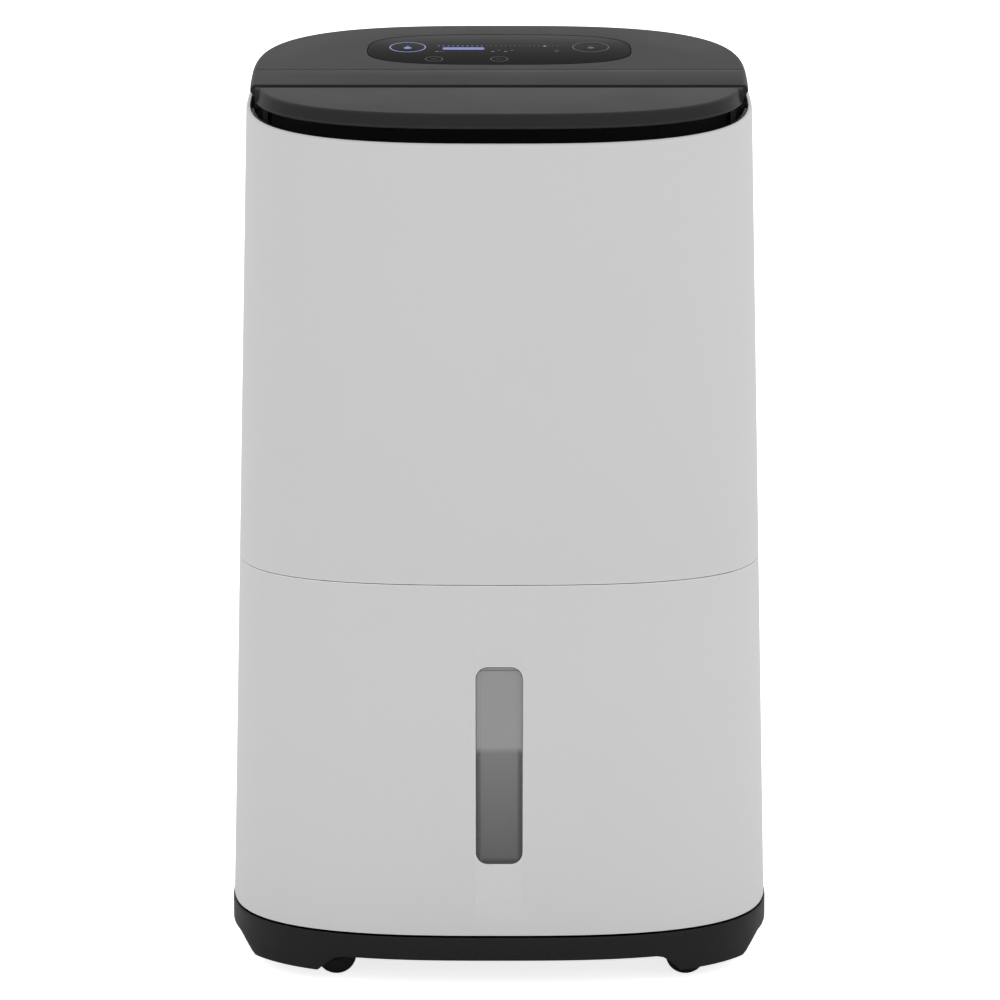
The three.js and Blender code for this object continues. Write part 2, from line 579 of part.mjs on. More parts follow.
// ---------- Air outlet ----------
// The duct lines the casing below the outlet; its floor opens onto the scroll, and two ears hold the flap's pins.
function outletDuct() {
  const walls = bodyBlock(DUCT.floor, 600, DUCT.outer)
    .subtract(bodyBlock(DUCT.floor + 2.4, 601, DUCT.inner))
    .intersect(below(rimHeight, DUCT.bezel + 0.3));
  const backWall = box(-139, 139, DUCT.back - 2.4, DUCT.back, DUCT.floor, 532);
  const throat = box(-SCROLL.radius + 1, SCROLL.radius - 1, SCROLL.front + 3, DUCT.back - 6, 400, 500);
  let duct = walls.intersect(slab(-FAR, DUCT.back)).add(backWall).subtract(throat);
  for (const side of [-1, 1]) {
    const [near, far] = sidesOf(side, FLAP.earIn, FLAP.earOut);
    const ear = box(near, far, FLAP.axisY - 8, DUCT.back - 0.5, DUCT.floor, FLAP.axisZ - 14)
      .add(box(near, far, FLAP.axisY - FLAP.earRadius, FLAP.axisY + FLAP.earRadius, DUCT.floor, FLAP.axisZ))
      .add(barAlongX(FLAP.axisY, FLAP.axisZ, FLAP.earRadius, near, far, 16))
      .subtract(barAlongX(FLAP.axisY, FLAP.axisZ, 2.2, near - 5, far + 5, 12));
    duct = duct.add(ear);
  }
  return duct;
}
add('outlet_duct', outletDuct(), black);

// A slim grey lining ring round the mouth of the outlet.
add('outlet_bezel', bodyBlock(500, 600, DUCT.outer).subtract(bodyBlock(499, 601, DUCT.outer + 2.2))
  .intersect(below(rimHeight, 0.9)).subtract(below(rimHeight, DUCT.bezel))
  .intersect(slab(-FAR, HANDLE.front - 0.4)), darkGrey);

function outletVanes() {
  const count = 11;
  const pitch = 17;
  const [front, back] = [SCROLL.front + 5, DUCT.back - 8];
  let vanes = box(-90, 90, front + 10, front + 13, 494, 500).add(box(-90, 90, back - 13, back - 10, 494, 500));
  for (let i = 0; i < count; i++) {
    const x = (i - (count - 1) / 2) * pitch;
    vanes = vanes.add(box(x - 0.9, x + 0.9, front, back, 493, 510));
  }
  return vanes.intersect(slab(-FAR, FAR, 0, 509));
}
add('outlet_vanes', outletVanes(), black);

// ---------- Outlet flap ----------
// Its top is a plane that meets the barrel round the hinge axis without a step.
const flapHeight = (y) => FLAP.axisZ + FLAP.barrel * Math.hypot(1, FLAP.slope) + FLAP.slope * (y - FLAP.axisY);
function outletFlap() {
  const flapRing = (inset, drop) =>
    ring(FLAP.halfWidth - inset, FLAP.halfDepth - inset, BODY.roundness, (y) => flapHeight(y) - drop, 44);
  const outer = loft([flapRing(0.6, FLAP.skirt), flapRing(0, FLAP.skirt - 0.6), flapRing(0, 1.6), flapRing(1.2, 0)]);
  const inner = loft([flapRing(2.6, FLAP.skirt + 1), flapRing(2.6, FLAP.plate)]);
  const barrel = barAlongX(FLAP.axisY, FLAP.axisZ, FLAP.barrel, -147, 147, 24);
  let flap = outer.subtract(inner).intersect(slab(-FAR, FLAP.axisY)).add(barrel);
  for (const side of [-1, 1]) {
    const [near, far] = sidesOf(side, FLAP.earIn - 2.4, 148.5);
    const [pocketNear, pocketFar] = sidesOf(side, FLAP.earIn - 2.4, FLAP.earOut + 1.4);
    flap = flap
      .subtract(box(near, far, FLAP.axisY, FAR, 400, FLAP.axisZ + 3.7))
      .subtract(box(pocketNear, pocketFar, FLAP.axisY - 10, FAR, 400, FLAP.axisZ + 3.7))
      .subtract(barAlongX(FLAP.axisY, FLAP.axisZ, 2.2, ...sidesOf(side, 120.6, 140), 12));
  }
  return flap;
}
add('outlet_flap', outletFlap(), darkGrey);
add('flap_pin_left', barAlongX(FLAP.axisY, FLAP.axisZ, 1.9, -144.8, -121, 12), steel);
add('flap_pin_right', barAlongX(FLAP.axisY, FLAP.axisZ, 1.9, 121, 144.8, 12), steel);

// The small geared motor that turns the flap sits behind the duct's rear wall.
add('flap_motor', barAlongX(-12, 505, 10, -136, -118, 20).add(barAlongX(-12, 505, 2.4, -118.5, -110, 12)), steel);

// ---------- Top cover ----------
// The rounded block that the rear cover and the handle's bar are both cut from.
const coverRing = (halfWidth, halfDepth, height, drop, roundness = 3) =>
  ring(halfWidth, halfDepth, roundness, (y) => height(y) - drop);
const coverBlock = () => loft([
  coverRing(149.6, 108.8, rimHeight, 9, BODY.roundness),
  coverRing(151.2, 110.2, rimHeight, 0, BODY.roundness),
  coverRing(154.2, 112.6, lidHeight, 4),
  coverRing(153.6, 112.0, lidHeight, 1),
  coverRing(152.2, 110.6, lidHeight, 0),
]);
const onLid = (solid) => solid.rotate([LID.tilt * 180 / Math.PI, 0, 0]).translate([0, 0, LID.height]);
const panelPlate = (grow, low, high) => {
  const outline = (z) => ring(PANEL.halfWidth + grow, PANEL.halfDepth + grow, PANEL.roundness, () => z, 32);
  return onLid(loft([outline(low), outline(high)]).translate([0, PANEL.centre, 0]));
};

const TROUGH = { front: -25, back: 9.5, floor: 24, plate: 3 };
function topCover() {
  const skin = 4.5;
  const hollow = loft([
    coverRing(147, 106.2, rimHeight, 20, BODY.roundness),
    coverRing(148.6, 107.6, rimHeight, 0, BODY.roundness),
    coverRing(151.4, 109.8, lidHeight, skin),
  ]).intersect(slab(TROUGH.back + WALL, FAR));
  const rear = coverBlock().intersect(slab(TROUGH.back, FAR)).subtract(hollow);
  const bridge = below(lidHeight, TROUGH.floor).subtract(below(lidHeight, TROUGH.floor + TROUGH.plate))
    .intersect(box(-139, 139, TROUGH.front, TROUGH.back + 1, 400, 600));
  const riser = below(lidHeight, 12).subtract(below(lidHeight, TROUGH.floor + TROUGH.plate))
    .intersect(box(-139, 139, TROUGH.back, TROUGH.back + WALL, 400, 600));
  return rear.add(bridge).add(riser)
    .subtract(panelPlate(0.4, -2.8, 5))
    .subtract(panelPlate(-4, -20, 5));
}
add('top_cover', topCover(), darkGrey);
add('control_panel', panelPlate(0, -PANEL.thick, 0), panelBlack);
add('display_board', onLid(box(-66, 66, PANEL.centre - 22, PANEL.centre + 22, -8.4, -6.8)
  .add(box(-40, 40, PANEL.centre - 10, PANEL.centre + 12, -7, -4.9))), board);

// ---------- Carrying handle ----------
// A bar across the top, flush with the cover, on two legs that slide in guides.
function carryHandle() {
  const shell = coverBlock().intersect(slab(HANDLE.front, HANDLE.back));
  const hollow = below(lidHeight, HANDLE.thick).intersect(box(-HANDLE.legIn, HANDLE.legIn, -FAR, FAR, 0, 600));
  let handle = shell.subtract(hollow);
  for (const side of [-1, 1]) {
    const [near, far] = sidesOf(side, HANDLE.legIn, HANDLE.legOut);
    handle = handle
      .add(box(near, far, HANDLE.front + 4, HANDLE.back - 4, HANDLE.legLow, 541))
      .add(box(near, far, HANDLE.front + 1.4, HANDLE.back - 1.4, HANDLE.legLow, HANDLE.legLow + 3));
  }
  return handle;
}
add('carry_handle', carryHandle(), darkGrey);

// Each guide reaches out to the casing; the stop at the foot of the leg meets it from below.
for (const [name, side] of [['left', -1], ['right', 1]]) {
  const clear = 0.5;
  const wall = 2.2;
  const y = [HANDLE.front + 4 - clear, HANDLE.back - 4 + clear];
  const sleeve = box(...sidesOf(side, HANDLE.legIn - clear - wall, 152.4), y[0] - wall, y[1] + wall, HANDLE.guideLow, HANDLE.guideTop)
    .subtract(box(...sidesOf(side, HANDLE.legIn - clear, HANDLE.legOut + clear), ...y, 440, 520));
  add(`handle_guide_${name}`, sleeve, frameGrey);
}

// ---------- Electrics ----------
const ELECTRICS = { x0: 52, x1: 128, y0: 26, y1: 78, z0: 74, z1: 196 };
function electricsBox() {
  const e = ELECTRICS;
  return box(e.x0, e.x1, e.y0, e.y1, e.z0, e.z1)
    .subtract(box(e.x0 + 2, e.x1 - 2, e.y0 + 2, e.y1 + 2, e.z0 + 2, e.z1 - 2));
}
add('electrics_box', electricsBox(), frameGrey);

function mainBoard() {
  const e = ELECTRICS;
  const plate = box(e.x0 + 4, e.x1 - 4, e.y0 + 6, e.y0 + 7.6, e.z0 + 5, e.z1 - 5);
  const parts = [[58, 20, 84, 22], [88, 26, 96, 30], [62, 16, 130, 26], [98, 16, 150, 20], [70, 14, 168, 12]];
  return parts.reduce((made, [x, w, z, h]) => made.add(box(x, x + w, e.y0 + 7, e.y0 + 24, z, z + h)), plate);
}
add('main_board', mainBoard(), board);
add('run_capacitor', turned([[0, 20.7], [14, 20.7], [15, 23], [15, 66], [0, 66]], 20).translate([112, 38, 0]), aluminium);
add('tank_switch', box(88, 112, -2, 12, 259.2, 268).add(box(98, 102, 2, 6, 268, 274)), black);

// ---------- Rear fittings ----------
function cordGland() {
  return turned([[4.2, -8], [7, -8], [7, 0], [11, 0], [11, 2.6], [6.4, 7], [4.2, 7]], 14).rotate([-90, 0, 0]);
}
const gland = add('cord_gland', cordGland(), rubber);
gland.position.set(CORD_GLAND.x, rearSurface(CORD_GLAND.x - 11, CORD_GLAND.z) + 0.3, CORD_GLAND.z);

function drainSpigot() {
  return turned([[5, -16], [8, -16], [8, 0], [11, 0], [11, 2], [5, 2]], 14).rotate([-90, 0, 0]);
}
const spigot = add('drain_spigot', drainSpigot(), frameGrey);
spigot.position.set(DRAIN.x, rearSurface(Math.abs(DRAIN.x) - 11, DRAIN.z) + 0.3, DRAIN.z);

function drainCap() {
  return turned([[0, -12], [4.6, -12], [4.6, 0], [9.5, 0], [9.5, 2], [8.5, 3], [0, 3]], 14).rotate([-90, 0, 0]);
}
const cap = add('drain_cap', drainCap(), rubber);
cap.position.set(DRAIN.x, rearSurface(Math.abs(DRAIN.x) - 11, DRAIN.z) + 2.7, DRAIN.z);

export default machine;
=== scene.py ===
import json
import math

import bmesh
import bpy
from mathutils import Matrix, Vector


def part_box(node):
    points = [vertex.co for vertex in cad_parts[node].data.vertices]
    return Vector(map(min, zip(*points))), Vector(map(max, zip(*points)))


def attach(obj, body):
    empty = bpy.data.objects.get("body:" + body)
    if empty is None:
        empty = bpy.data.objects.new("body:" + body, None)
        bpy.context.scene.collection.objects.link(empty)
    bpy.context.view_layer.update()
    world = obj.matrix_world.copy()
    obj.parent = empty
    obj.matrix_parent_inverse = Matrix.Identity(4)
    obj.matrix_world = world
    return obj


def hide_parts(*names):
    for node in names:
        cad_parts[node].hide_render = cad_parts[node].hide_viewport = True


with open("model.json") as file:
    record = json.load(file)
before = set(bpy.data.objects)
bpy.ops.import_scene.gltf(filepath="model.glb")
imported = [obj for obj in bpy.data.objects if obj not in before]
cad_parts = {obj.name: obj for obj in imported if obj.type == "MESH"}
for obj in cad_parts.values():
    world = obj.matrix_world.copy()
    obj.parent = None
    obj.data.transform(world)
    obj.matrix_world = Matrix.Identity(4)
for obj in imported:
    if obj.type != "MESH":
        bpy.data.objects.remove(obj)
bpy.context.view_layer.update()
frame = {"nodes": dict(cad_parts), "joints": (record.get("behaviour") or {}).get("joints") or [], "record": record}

JOINTS = {joint["name"]: joint for joint in frame["joints"]}
MM = 0.001
FAR = 0.5
SHARP = math.radians(50)

# ---------- Driving sizes, in metres ----------
HALF_WIDTH, WIDTH_DRAFT = 0.1691, 0.0256
HALF_DEPTH, DEPTH_DRAFT = 0.12207, 0.0142
ROUNDNESS = 2.87
WALL = 2.6 * MM
AROUND = 256

RIM_HEIGHT, RIM_SLOPE = 0.5354, math.tan(math.radians(8.04))
LID_HEIGHT, LID_TILT = 0.5500, math.radians(10)
COVER_LOW, COVER_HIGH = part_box("tank_cover")
CASING_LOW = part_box("front_casing")[0].z
SPLIT = COVER_HIGH.y
SEAM = 0.4 * MM


def rim(x, y):
    """The sloping top edge of the white casing."""
    return RIM_HEIGHT + RIM_SLOPE * y


def lid(x, y):
    """The sloping top of the machine."""
    return LID_HEIGHT + math.tan(LID_TILT) * y


def lower(level, drop):
    return lambda x, y: level(x, y) - drop


def flat(z):
    return lambda x, y: z


def sweep(value, start, end):
    """Climbs from 0 to 1, softly at its start and with a corner at its end."""
    return min(1.0, max(0.0, (value - start) / (end - start))) ** 1.6


def half_sizes(z, inset=0.0):
    """Half the tapered body's width and depth at a height, taken in by an inset."""
    return HALF_WIDTH - WIDTH_DRAFT * z - inset, HALF_DEPTH - DEPTH_DRAFT * z - inset


def side_wall(x, z):
    """How far the rear wall of the body stands from the middle plane, at a place across and a height."""
    half_width, half_depth = half_sizes(z)
    return half_depth * (1 - min(1.0, abs(x) / half_width) ** ROUNDNESS) ** (1 / ROUNDNESS)


# ---------- Handwork ----------
def deselect():
    if bpy.context.object and bpy.context.object.mode != "OBJECT":
        bpy.ops.object.mode_set(mode="OBJECT")
    bpy.ops.object.select_all(action="DESELECT")


def hold(piece):
    deselect()
    piece.select_set(True)
    bpy.context.view_layer.objects.active = piece


def edit(piece):
    hold(piece)
    bpy.ops.object.mode_set(mode="EDIT")
    bpy.ops.mesh.select_mode(type="VERT")
    bpy.ops.mesh.select_all(action="SELECT")


def leave():
    bpy.ops.object.mode_set(mode="OBJECT")


def named(name):
    """Names the piece that was just made."""
    piece = bpy.context.object
    piece.name = piece.data.name = name
    return piece


def settle(piece):
    """Puts the piece's place into its mesh."""
    hold(piece)
    bpy.ops.object.transform_apply(location=True, rotation=True, scale=True)
    return piece


def pick(kind, test):
    """Selects, in edit mode, just the verts, edges or faces that pass a test."""
    bpy.ops.mesh.select_mode(type=kind[:-1].upper())
    bpy.ops.mesh.select_all(action="DESELECT")
    data = bpy.context.edit_object.data
    mesh = bmesh.from_edit_mesh(data)
    for element in getattr(mesh, kind):
        if test(element):
            element.select_set(True)
    mesh.select_flush_mode()
    bmesh.update_edit_mesh(data)


def face_out():
    """Turns every face outwards and leaves edit mode."""
    bpy.ops.mesh.select_all(action="SELECT")
    bpy.ops.mesh.normals_make_consistent(inside=False)
    leave()


def round_edges(piece, test, width, segments):
    """Rounds just the edges that pass a test."""
    edit(piece)
    pick("edges", test)
    bpy.ops.mesh.bevel(offset=width, segments=segments, affect="EDGES")
    leave()
    return piece


def runs_along(edge, axis):
    return abs((edge.verts[0].co - edge.verts[1].co).normalized()[axis]) > 0.9


def oval(half_width, half_depth, level, roundness=ROUNDNESS):
    """A rounded oval ring; level gives its height at each place."""
    def place(turn):
        across, along = math.cos(turn), math.sin(turn)
        share = abs(across / half_width) ** roundness + abs(along / half_depth) ** roundness
        reach = share ** (-1 / roundness)
        x, y = reach * across, reach * along
        return Vector((x, y, level(x, y)))
    return place


def body_ring(inset, level):
    """A ring on the body's tapered wall, taken in by an inset."""
    def place(turn):
        point = Vector((0, 0, level(0, 0)))
        for _ in range(4):
            point = oval(*half_sizes(point.z, inset), level)(turn)
        return point
    return place


def circle(radius, z):
    return lambda turn: Vector((radius * math.cos(turn), radius * math.sin(turn), z))


def loft(name, rings, hollow=False, points=AROUND):
    """A piece drawn up ring by ring from one circle; a hollow one joins its last ring to its first."""
    deselect()
    bpy.ops.mesh.primitive_circle_add(vertices=points, radius=1, fill_type="NOTHING" if hollow else "NGON")
    piece = named(name)
    edit(piece)
    mesh = bmesh.from_edit_mesh(piece.data)
    turn = mesh.verts.layers.float.new("turn")
    for vert in mesh.verts:
        vert[turn] = math.atan2(vert.co.y, vert.co.x)
    for number, ring in enumerate(rings):
        if number:
            bpy.ops.mesh.extrude_region_move()
        mesh = bmesh.from_edit_mesh(piece.data)
        turn = mesh.verts.layers.float["turn"]
        for vert in mesh.verts:
            if vert.select:
                vert.co = ring(vert[turn])
        bmesh.update_edit_mesh(piece.data)
    if hollow:
        pick("edges", lambda edge: edge.is_boundary)
        bpy.ops.mesh.bridge_edge_loops()
    face_out()
    return piece


def slice_off(piece, point, normal):
    """Cuts the piece by a plane, drops what lies on the normal's side, and closes the cut."""
    edit(piece)
    bpy.ops.mesh.bisect(plane_co=point, plane_no=normal, use_fill=True, clear_outer=True)
    leave()
    return piece


def apply(piece, modifier):
    hold(piece)
    bpy.ops.object.modifier_apply(modifier=modifier.name)


def carve(piece, tool, how="DIFFERENCE"):
    modifier = piece.modifiers.new("carve", "BOOLEAN")
    modifier.operation = how
    modifier.object = tool
    modifier.solver = "EXACT"
    apply(piece, modifier)
    bpy.data.objects.remove(tool)
    return piece


def weld(piece, *others):
    for other in others:
        carve(piece, other, "UNION")
    return piece


def soften(piece, width, segments=2, smooth=32):
    """Rounds the sharp edges and smooths the rest."""
    if width:
        modifier = piece.modifiers.new("soften", "BEVEL")
        modifier.width = width
        modifier.segments = segments
        modifier.limit_method = "ANGLE"
        modifier.angle_limit = SHARP
        modifier.miter_outer = "MITER_ARC"
        apply(piece, modifier)
    hold(piece)
    bpy.ops.object.shade_smooth_by_angle(angle=math.radians(smooth))
    return piece


def block(name, low, high):
    deselect()
    middle = [(a + b) / 2 for a, b in zip(low, high)]
    bpy.ops.mesh.primitive_cube_add(size=1, location=middle)
    piece = named(name)
    piece.scale = [b - a for a, b in zip(low, high)]
    return settle(piece)


def sloped_block(name, low, high, bottom, top):
    """A block whose lower and upper faces follow two levels."""
    piece = block(name, (low[0], low[1], 0), (high[0], high[1], 1))
    for vert in piece.data.vertices:
        x, y, _ = vert.co
        vert.co.z = top(x, y) if vert.co.z > 0.5 else bottom(x, y)
    return piece


def rod(name, start, end, radius, sides=48):
    deselect()
    start, end = Vector(start), Vector(end)
    span = end - start
    bpy.ops.mesh.primitive_cylinder_add(
        vertices=sides, radius=radius, depth=span.length, location=(start + end) / 2)
    piece = named(name)
    piece.rotation_euler = span.to_track_quat("Z", "Y").to_euler()
    return settle(piece)


def turned(name, profile, place, axis="Z", hollow=False, points=64):
    """A piece turned from (radius, height) pairs in millimetres, stood at a place along an axis."""
    piece = loft(name, [circle(max(r, 0.02) * MM, h * MM) for r, h in profile], hollow, points)
    if axis == "Y":
        piece.rotation_euler.x = -math.pi / 2
    if axis == "X":
        piece.rotation_euler.y = math.pi / 2
    piece.location = place
    return settle(piece)


def rounded_block(name, low, high, axis, radius, segments=10):
    """A block with its four edges along one axis rounded."""
    piece = block(name, low, high)
    return round_edges(piece, lambda edge: runs_along(edge, axis), radius, segments)


def join(name, pieces):
    deselect()
    for piece in pieces:
        piece.select_set(True)
    bpy.context.view_layer.objects.active = pieces[0]
    bpy.ops.object.join()
    return named(name)


def ears(piece, places, low, high, radius, hole, hole_radius):
    """Joins rounded ears to a piece, each bored through across the machine, from (left, right) places."""
    for left, right in places:
        ear = rounded_block("ear", (left, *low), (right, *high), 0, radius, 5)
        bore = rod("pin_hole", (left - 0.01, *hole), (right + 0.01, *hole), hole_radius, 24)
        weld(piece, carve(ear, bore))


def finish(piece, slot, body, *nodes, look=None):
    """Gives a finished piece the material of its slot, parents it to its body, and hides the nodes it stands for.
    """
    piece.data.materials.clear()
    piece.data.materials.append(FINISH[look or slot])
    for attribute in [a.name for a in piece.data.attributes if a.name == "turn"]:
        piece.data.attributes.remove(piece.data.attributes[attribute])
    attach(piece, body)
    if nodes:
        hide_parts(*nodes)
    return piece


# ---------- Shared effects ----------
def grey(level, tint=(0, 0, 0)):
    """A display grey, with a small tint, as a linear colour."""
    return [(max(level + t, 0) / 255 * 0.9479 + 0.0521) ** 2.4 for t in tint] + [1]


class Wiring:
    """Adds nodes to a tree and joins their sockets."""

    def __init__(self, tree):
        self.tree = tree

    def link(self, source, target):
        self.tree.links.new(source, target)

    def node(self, kind, sockets=None, **settings):
        made = self.tree.nodes.new(kind)
        for name, value in settings.items():
            setattr(made, name, value)
        for name, value in (sockets or {}).items():
            if isinstance(value, bpy.types.NodeSocket):
                self.link(value, made.inputs[name])
            else:
                made.inputs[name].default_value = value
        return made

    def place(self):
        return self.node("ShaderNodeTexCoord").outputs["Object"]

    def part(self, vector, axis):
        return self.node("ShaderNodeSeparateXYZ", {"Vector": vector}).outputs[axis]

    def maths(self, how, first, second=0.0, clamp=False):
        return self.node("ShaderNodeMath", {0: first, 1: second}, operation=how, use_clamp=clamp).outputs[0]

    def spread(self, value, low, high, to_low=0.0, to_high=1.0):
        sockets = {"Value": value, "From Min": low, "From Max": high, "To Min": to_low, "To Max": to_high}
        return self.node("ShaderNodeMapRange", sockets).outputs["Result"]

    def noise(self, place, scale, detail, roughness=0.5):
        sockets = {"Vector": place, "Scale": scale, "Detail": detail, "Roughness": roughness}
        return self.node("ShaderNodeTexNoise", sockets).outputs["Fac"]

    def waves(self, place, pitch, axis, distortion=0.0):
        sockets = {"Vector": place, "Scale": 1 / pitch / 20, "Distortion": distortion}
        return self.node("ShaderNodeTexWave", sockets, bands_direction=axis).outputs["Fac"]

    def blend(self, mask, first, second):
        return self.node("ShaderNodeMix", {0: mask, 6: first, 7: second}, data_type="RGBA").outputs[2]

    def bump(self, shader, height, strength, distance=0.2 * MM):
        sockets = {"Height": height, "Strength": strength, "Distance": distance}
        self.link(self.node("ShaderNodeBump", sockets).outputs["Normal"], shader.inputs["Normal"])


def darker(colour, share):
    return [channel * share for channel in colour[:3]] + [1]


def effect(name, inputs, outputs):
    tree = bpy.data.node_groups.new(name, "ShaderNodeTree")
    for label, default in inputs.items():
        socket = tree.interface.new_socket(label, in_out="INPUT", socket_type="NodeSocketFloat")
        socket.default_value = default
    for label in outputs:
        tree.interface.new_socket(label, in_out="OUTPUT", socket_type="NodeSocketFloat")
    wiring = Wiring(tree)
    return wiring, wiring.node("NodeGroupInput").outputs, wiring.node("NodeGroupOutput").inputs


def make_moulded_grain():
    """The fine spark-eroded grain of a moulded face: its height, and how it breaks up the gloss."""
    inputs = {"Grain per metre": 2600.0, "Waves per metre": 14.0}
    wire, given, out = effect("moulded_grain", inputs, ["Height", "Gloss"])
    place = wire.place()
    fine = wire.noise(place, given[0], 3.0, 0.6)
    pits = wire.node("ShaderNodeTexVoronoi", {"Vector": place, "Scale": given[0]}, feature="SMOOTH_F1")
    broad = wire.noise(place, given[1], 4.0, 0.55)
    pitted = wire.maths("MULTIPLY", pits.outputs["Distance"], 0.4)
    wire.link(wire.maths("ADD", wire.maths("MULTIPLY", fine, 0.6), pitted), out["Height"])
    wire.link(wire.spread(broad, 0.35, 0.65), out["Gloss"])
    return wire.tree


def make_edge_wear_and_highlight():
    """Where corners turn paler: brightened by hands and cloths, and a painted highlight along the edges."""
    wire, given, out = effect("edge_wear", {"Reach": 0.0006, "Breaks per metre": 90.0}, ["Mask"])
    facing = wire.node("ShaderNodeNewGeometry").outputs["Normal"]
    rounded = wire.node("ShaderNodeBevel", {"Radius": given[0]}, samples=4).outputs["Normal"]
    alike = wire.node("ShaderNodeVectorMath", {0: facing, 1: rounded}, operation="DOT_PRODUCT")
    # The pale edge mask is partly handling wear and partly a painted highlight on rounded edges.
    corner = wire.spread(alike.outputs["Value"], 0.998, 0.92)
    breaks = wire.spread(wire.noise(wire.place(), given[1], 5.0), 0.2, 0.5)
    wire.link(wire.maths("MULTIPLY", corner, breaks, clamp=True), out["Mask"])
    return wire.tree


def make_settled_dust():
    """A faint film on what faces up."""
    wire, given, out = effect("settled_dust", {"Clumps per metre": 60.0}, ["Mask"])
    upward = wire.part(wire.node("ShaderNodeNewGeometry").outputs["Normal"], "Z")
    clumps = wire.spread(wire.noise(wire.place(), given[0], 8.0, 0.7), 0.45, 0.75)
    wire.link(wire.maths("MULTIPLY", wire.spread(upward, 0.3, 1.0), clumps), out["Mask"])
    return wire.tree


GRAIN = make_moulded_grain()
WEAR_AND_HIGHLIGHT = make_edge_wear_and_highlight()
DUST = make_settled_dust()


def surface(name, settings):
    """A new material: its wiring and its shader."""
    material = bpy.data.materials.new(name)
    material.use_nodes = True
    material.node_tree.nodes.clear()
    wire = Wiring(material.node_tree)
    shader = wire.node("ShaderNodeBsdfPrincipled", settings)
    wire.node("ShaderNodeOutputMaterial", {"Surface": shader.outputs["BSDF"]})
    return material, wire, shader


def moulded(name, colour, gloss=(0.42, 0.5), grain=2600.0, depth=0.02, worn_and_lit=None, dusty=0.05, specular=0.5,
            coat=0.0, mottle=0.03, rubbed_and_lit_reach=0.0006):
    """A moulded plastic: grain in the face, slow changes of gloss, paler corners from handling and a painted edge
    highlight, and a little dust.
    """
    material, wire, shader = surface(name, {"Specular IOR Level": specular, "Coat Weight": coat})
    texture = wire.node("ShaderNodeGroup", {"Grain per metre": grain}, node_tree=GRAIN).outputs
    wear_and_highlight = wire.node("ShaderNodeGroup", {"Reach": rubbed_and_lit_reach}, node_tree=WEAR_AND_HIGHLIGHT).outputs["Mask"]
    dust = wire.node("ShaderNodeGroup", node_tree=DUST).outputs["Mask"]
    tone = wire.blend(texture["Gloss"], darker(colour, 1 - mottle), colour)
    # Paler corners: handling wear plus a painted highlight along the edges.
    rubbed_and_lit = wire.blend(wear_and_highlight, tone, worn_and_lit or colour)
    film = wire.maths("MULTIPLY", dust, dusty)
    wire.link(wire.blend(film, rubbed_and_lit, grey(170)), shader.inputs["Base Color"])
    rough = wire.spread(texture["Gloss"], 0, 1, *gloss)
    wire.link(wire.maths("ADD", rough, wire.maths("MULTIPLY", film, 0.6)), shader.inputs["Roughness"])
    wire.bump(shader, texture["Height"], depth)
    return material


def metal(name, colour, gloss=(0.25, 0.4), lines=(1.0, 1.0, 1.0), depth=0.05):
    """A bare metal, brushed or drawn along one way."""
    material, wire, shader = surface(name, {"Metallic": 1.0})
    place = wire.place()
    drawn = wire.node("ShaderNodeMapping", {"Vector": place, "Scale": lines}).outputs[0]
    streaks = wire.noise(drawn, 900.0, 4.0)
    stains = wire.spread(wire.noise(place, 25.0, 6.0), 0.4, 0.7)
    wire.link(wire.blend(stains, colour, darker(colour, 0.72)), shader.inputs["Base Color"])
    wire.link(wire.spread(streaks, 0.3, 0.7, *gloss), shader.inputs["Roughness"])
    wire.bump(shader, streaks, depth)
    return material


def finned(name, colour, pitch):
    """Stacked thin fins, seen as fine upright lines with dents, with painted shade in the gaps between them."""
    material, wire, shader = surface(name, {"Metallic": 1.0})
    place = wire.place()
    fins = wire.waves(place, pitch, "X", 0.4)
    dents = wire.noise(place, 60.0, 5.0)
    # The darker bands are painted shade in the gaps between fins.
    wire.link(wire.blend(fins, darker(colour, 0.35), colour), shader.inputs["Base Color"])
    wire.link(wire.spread(dents, 0.3, 0.7, 0.3, 0.5), shader.inputs["Roughness"])
    wire.bump(shader, fins, 0.6, 0.6 * MM)
    return material


def woven(name, colour, pitch):
    """A fine nylon mesh: two crossed sets of threads over holes painted dark as shade, with lint on them."""
    material, wire, shader = surface(name, {"Roughness": 0.85})
    place = wire.place()
    thread = wire.maths("MAXIMUM", wire.waves(place, pitch, "X"), wire.waves(place, pitch, "Z"))
    lint = wire.spread(wire.noise(place, 45.0, 7.0), 0.5, 0.8)
    dusty = wire.blend(lint, colour, grey(110))
    raised = wire.spread(thread, 0.6, 0.8)
    # The holes between threads are painted dark as shade.
    wire.link(wire.blend(raised, darker(colour, 0.2), dusty), shader.inputs["Base Color"])
    wire.bump(shader, thread, 0.5, 0.3 * MM)
    return material


WINDOW_LOW, WINDOW_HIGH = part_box("tank_window")
WINDOW_ROUND = 7 * MM
WATER_LEVEL, WATER_FADE = 150.5 * MM, 72 * MM
SHADED_SIDE = (10.8 * MM, 12.2 * MM)      # where the painted shade on the window's dished sides starts and ends, from its middle
SHADED_FOOT = (3.2 * MM, 1.8 * MM)        # the same for the painted shade along its foot, up from its foot
SHADOW_LINE_DROP, SHADOW_LINE_HALF = 1.9 * MM, 0.3 * MM    # a painted shadow line below its head
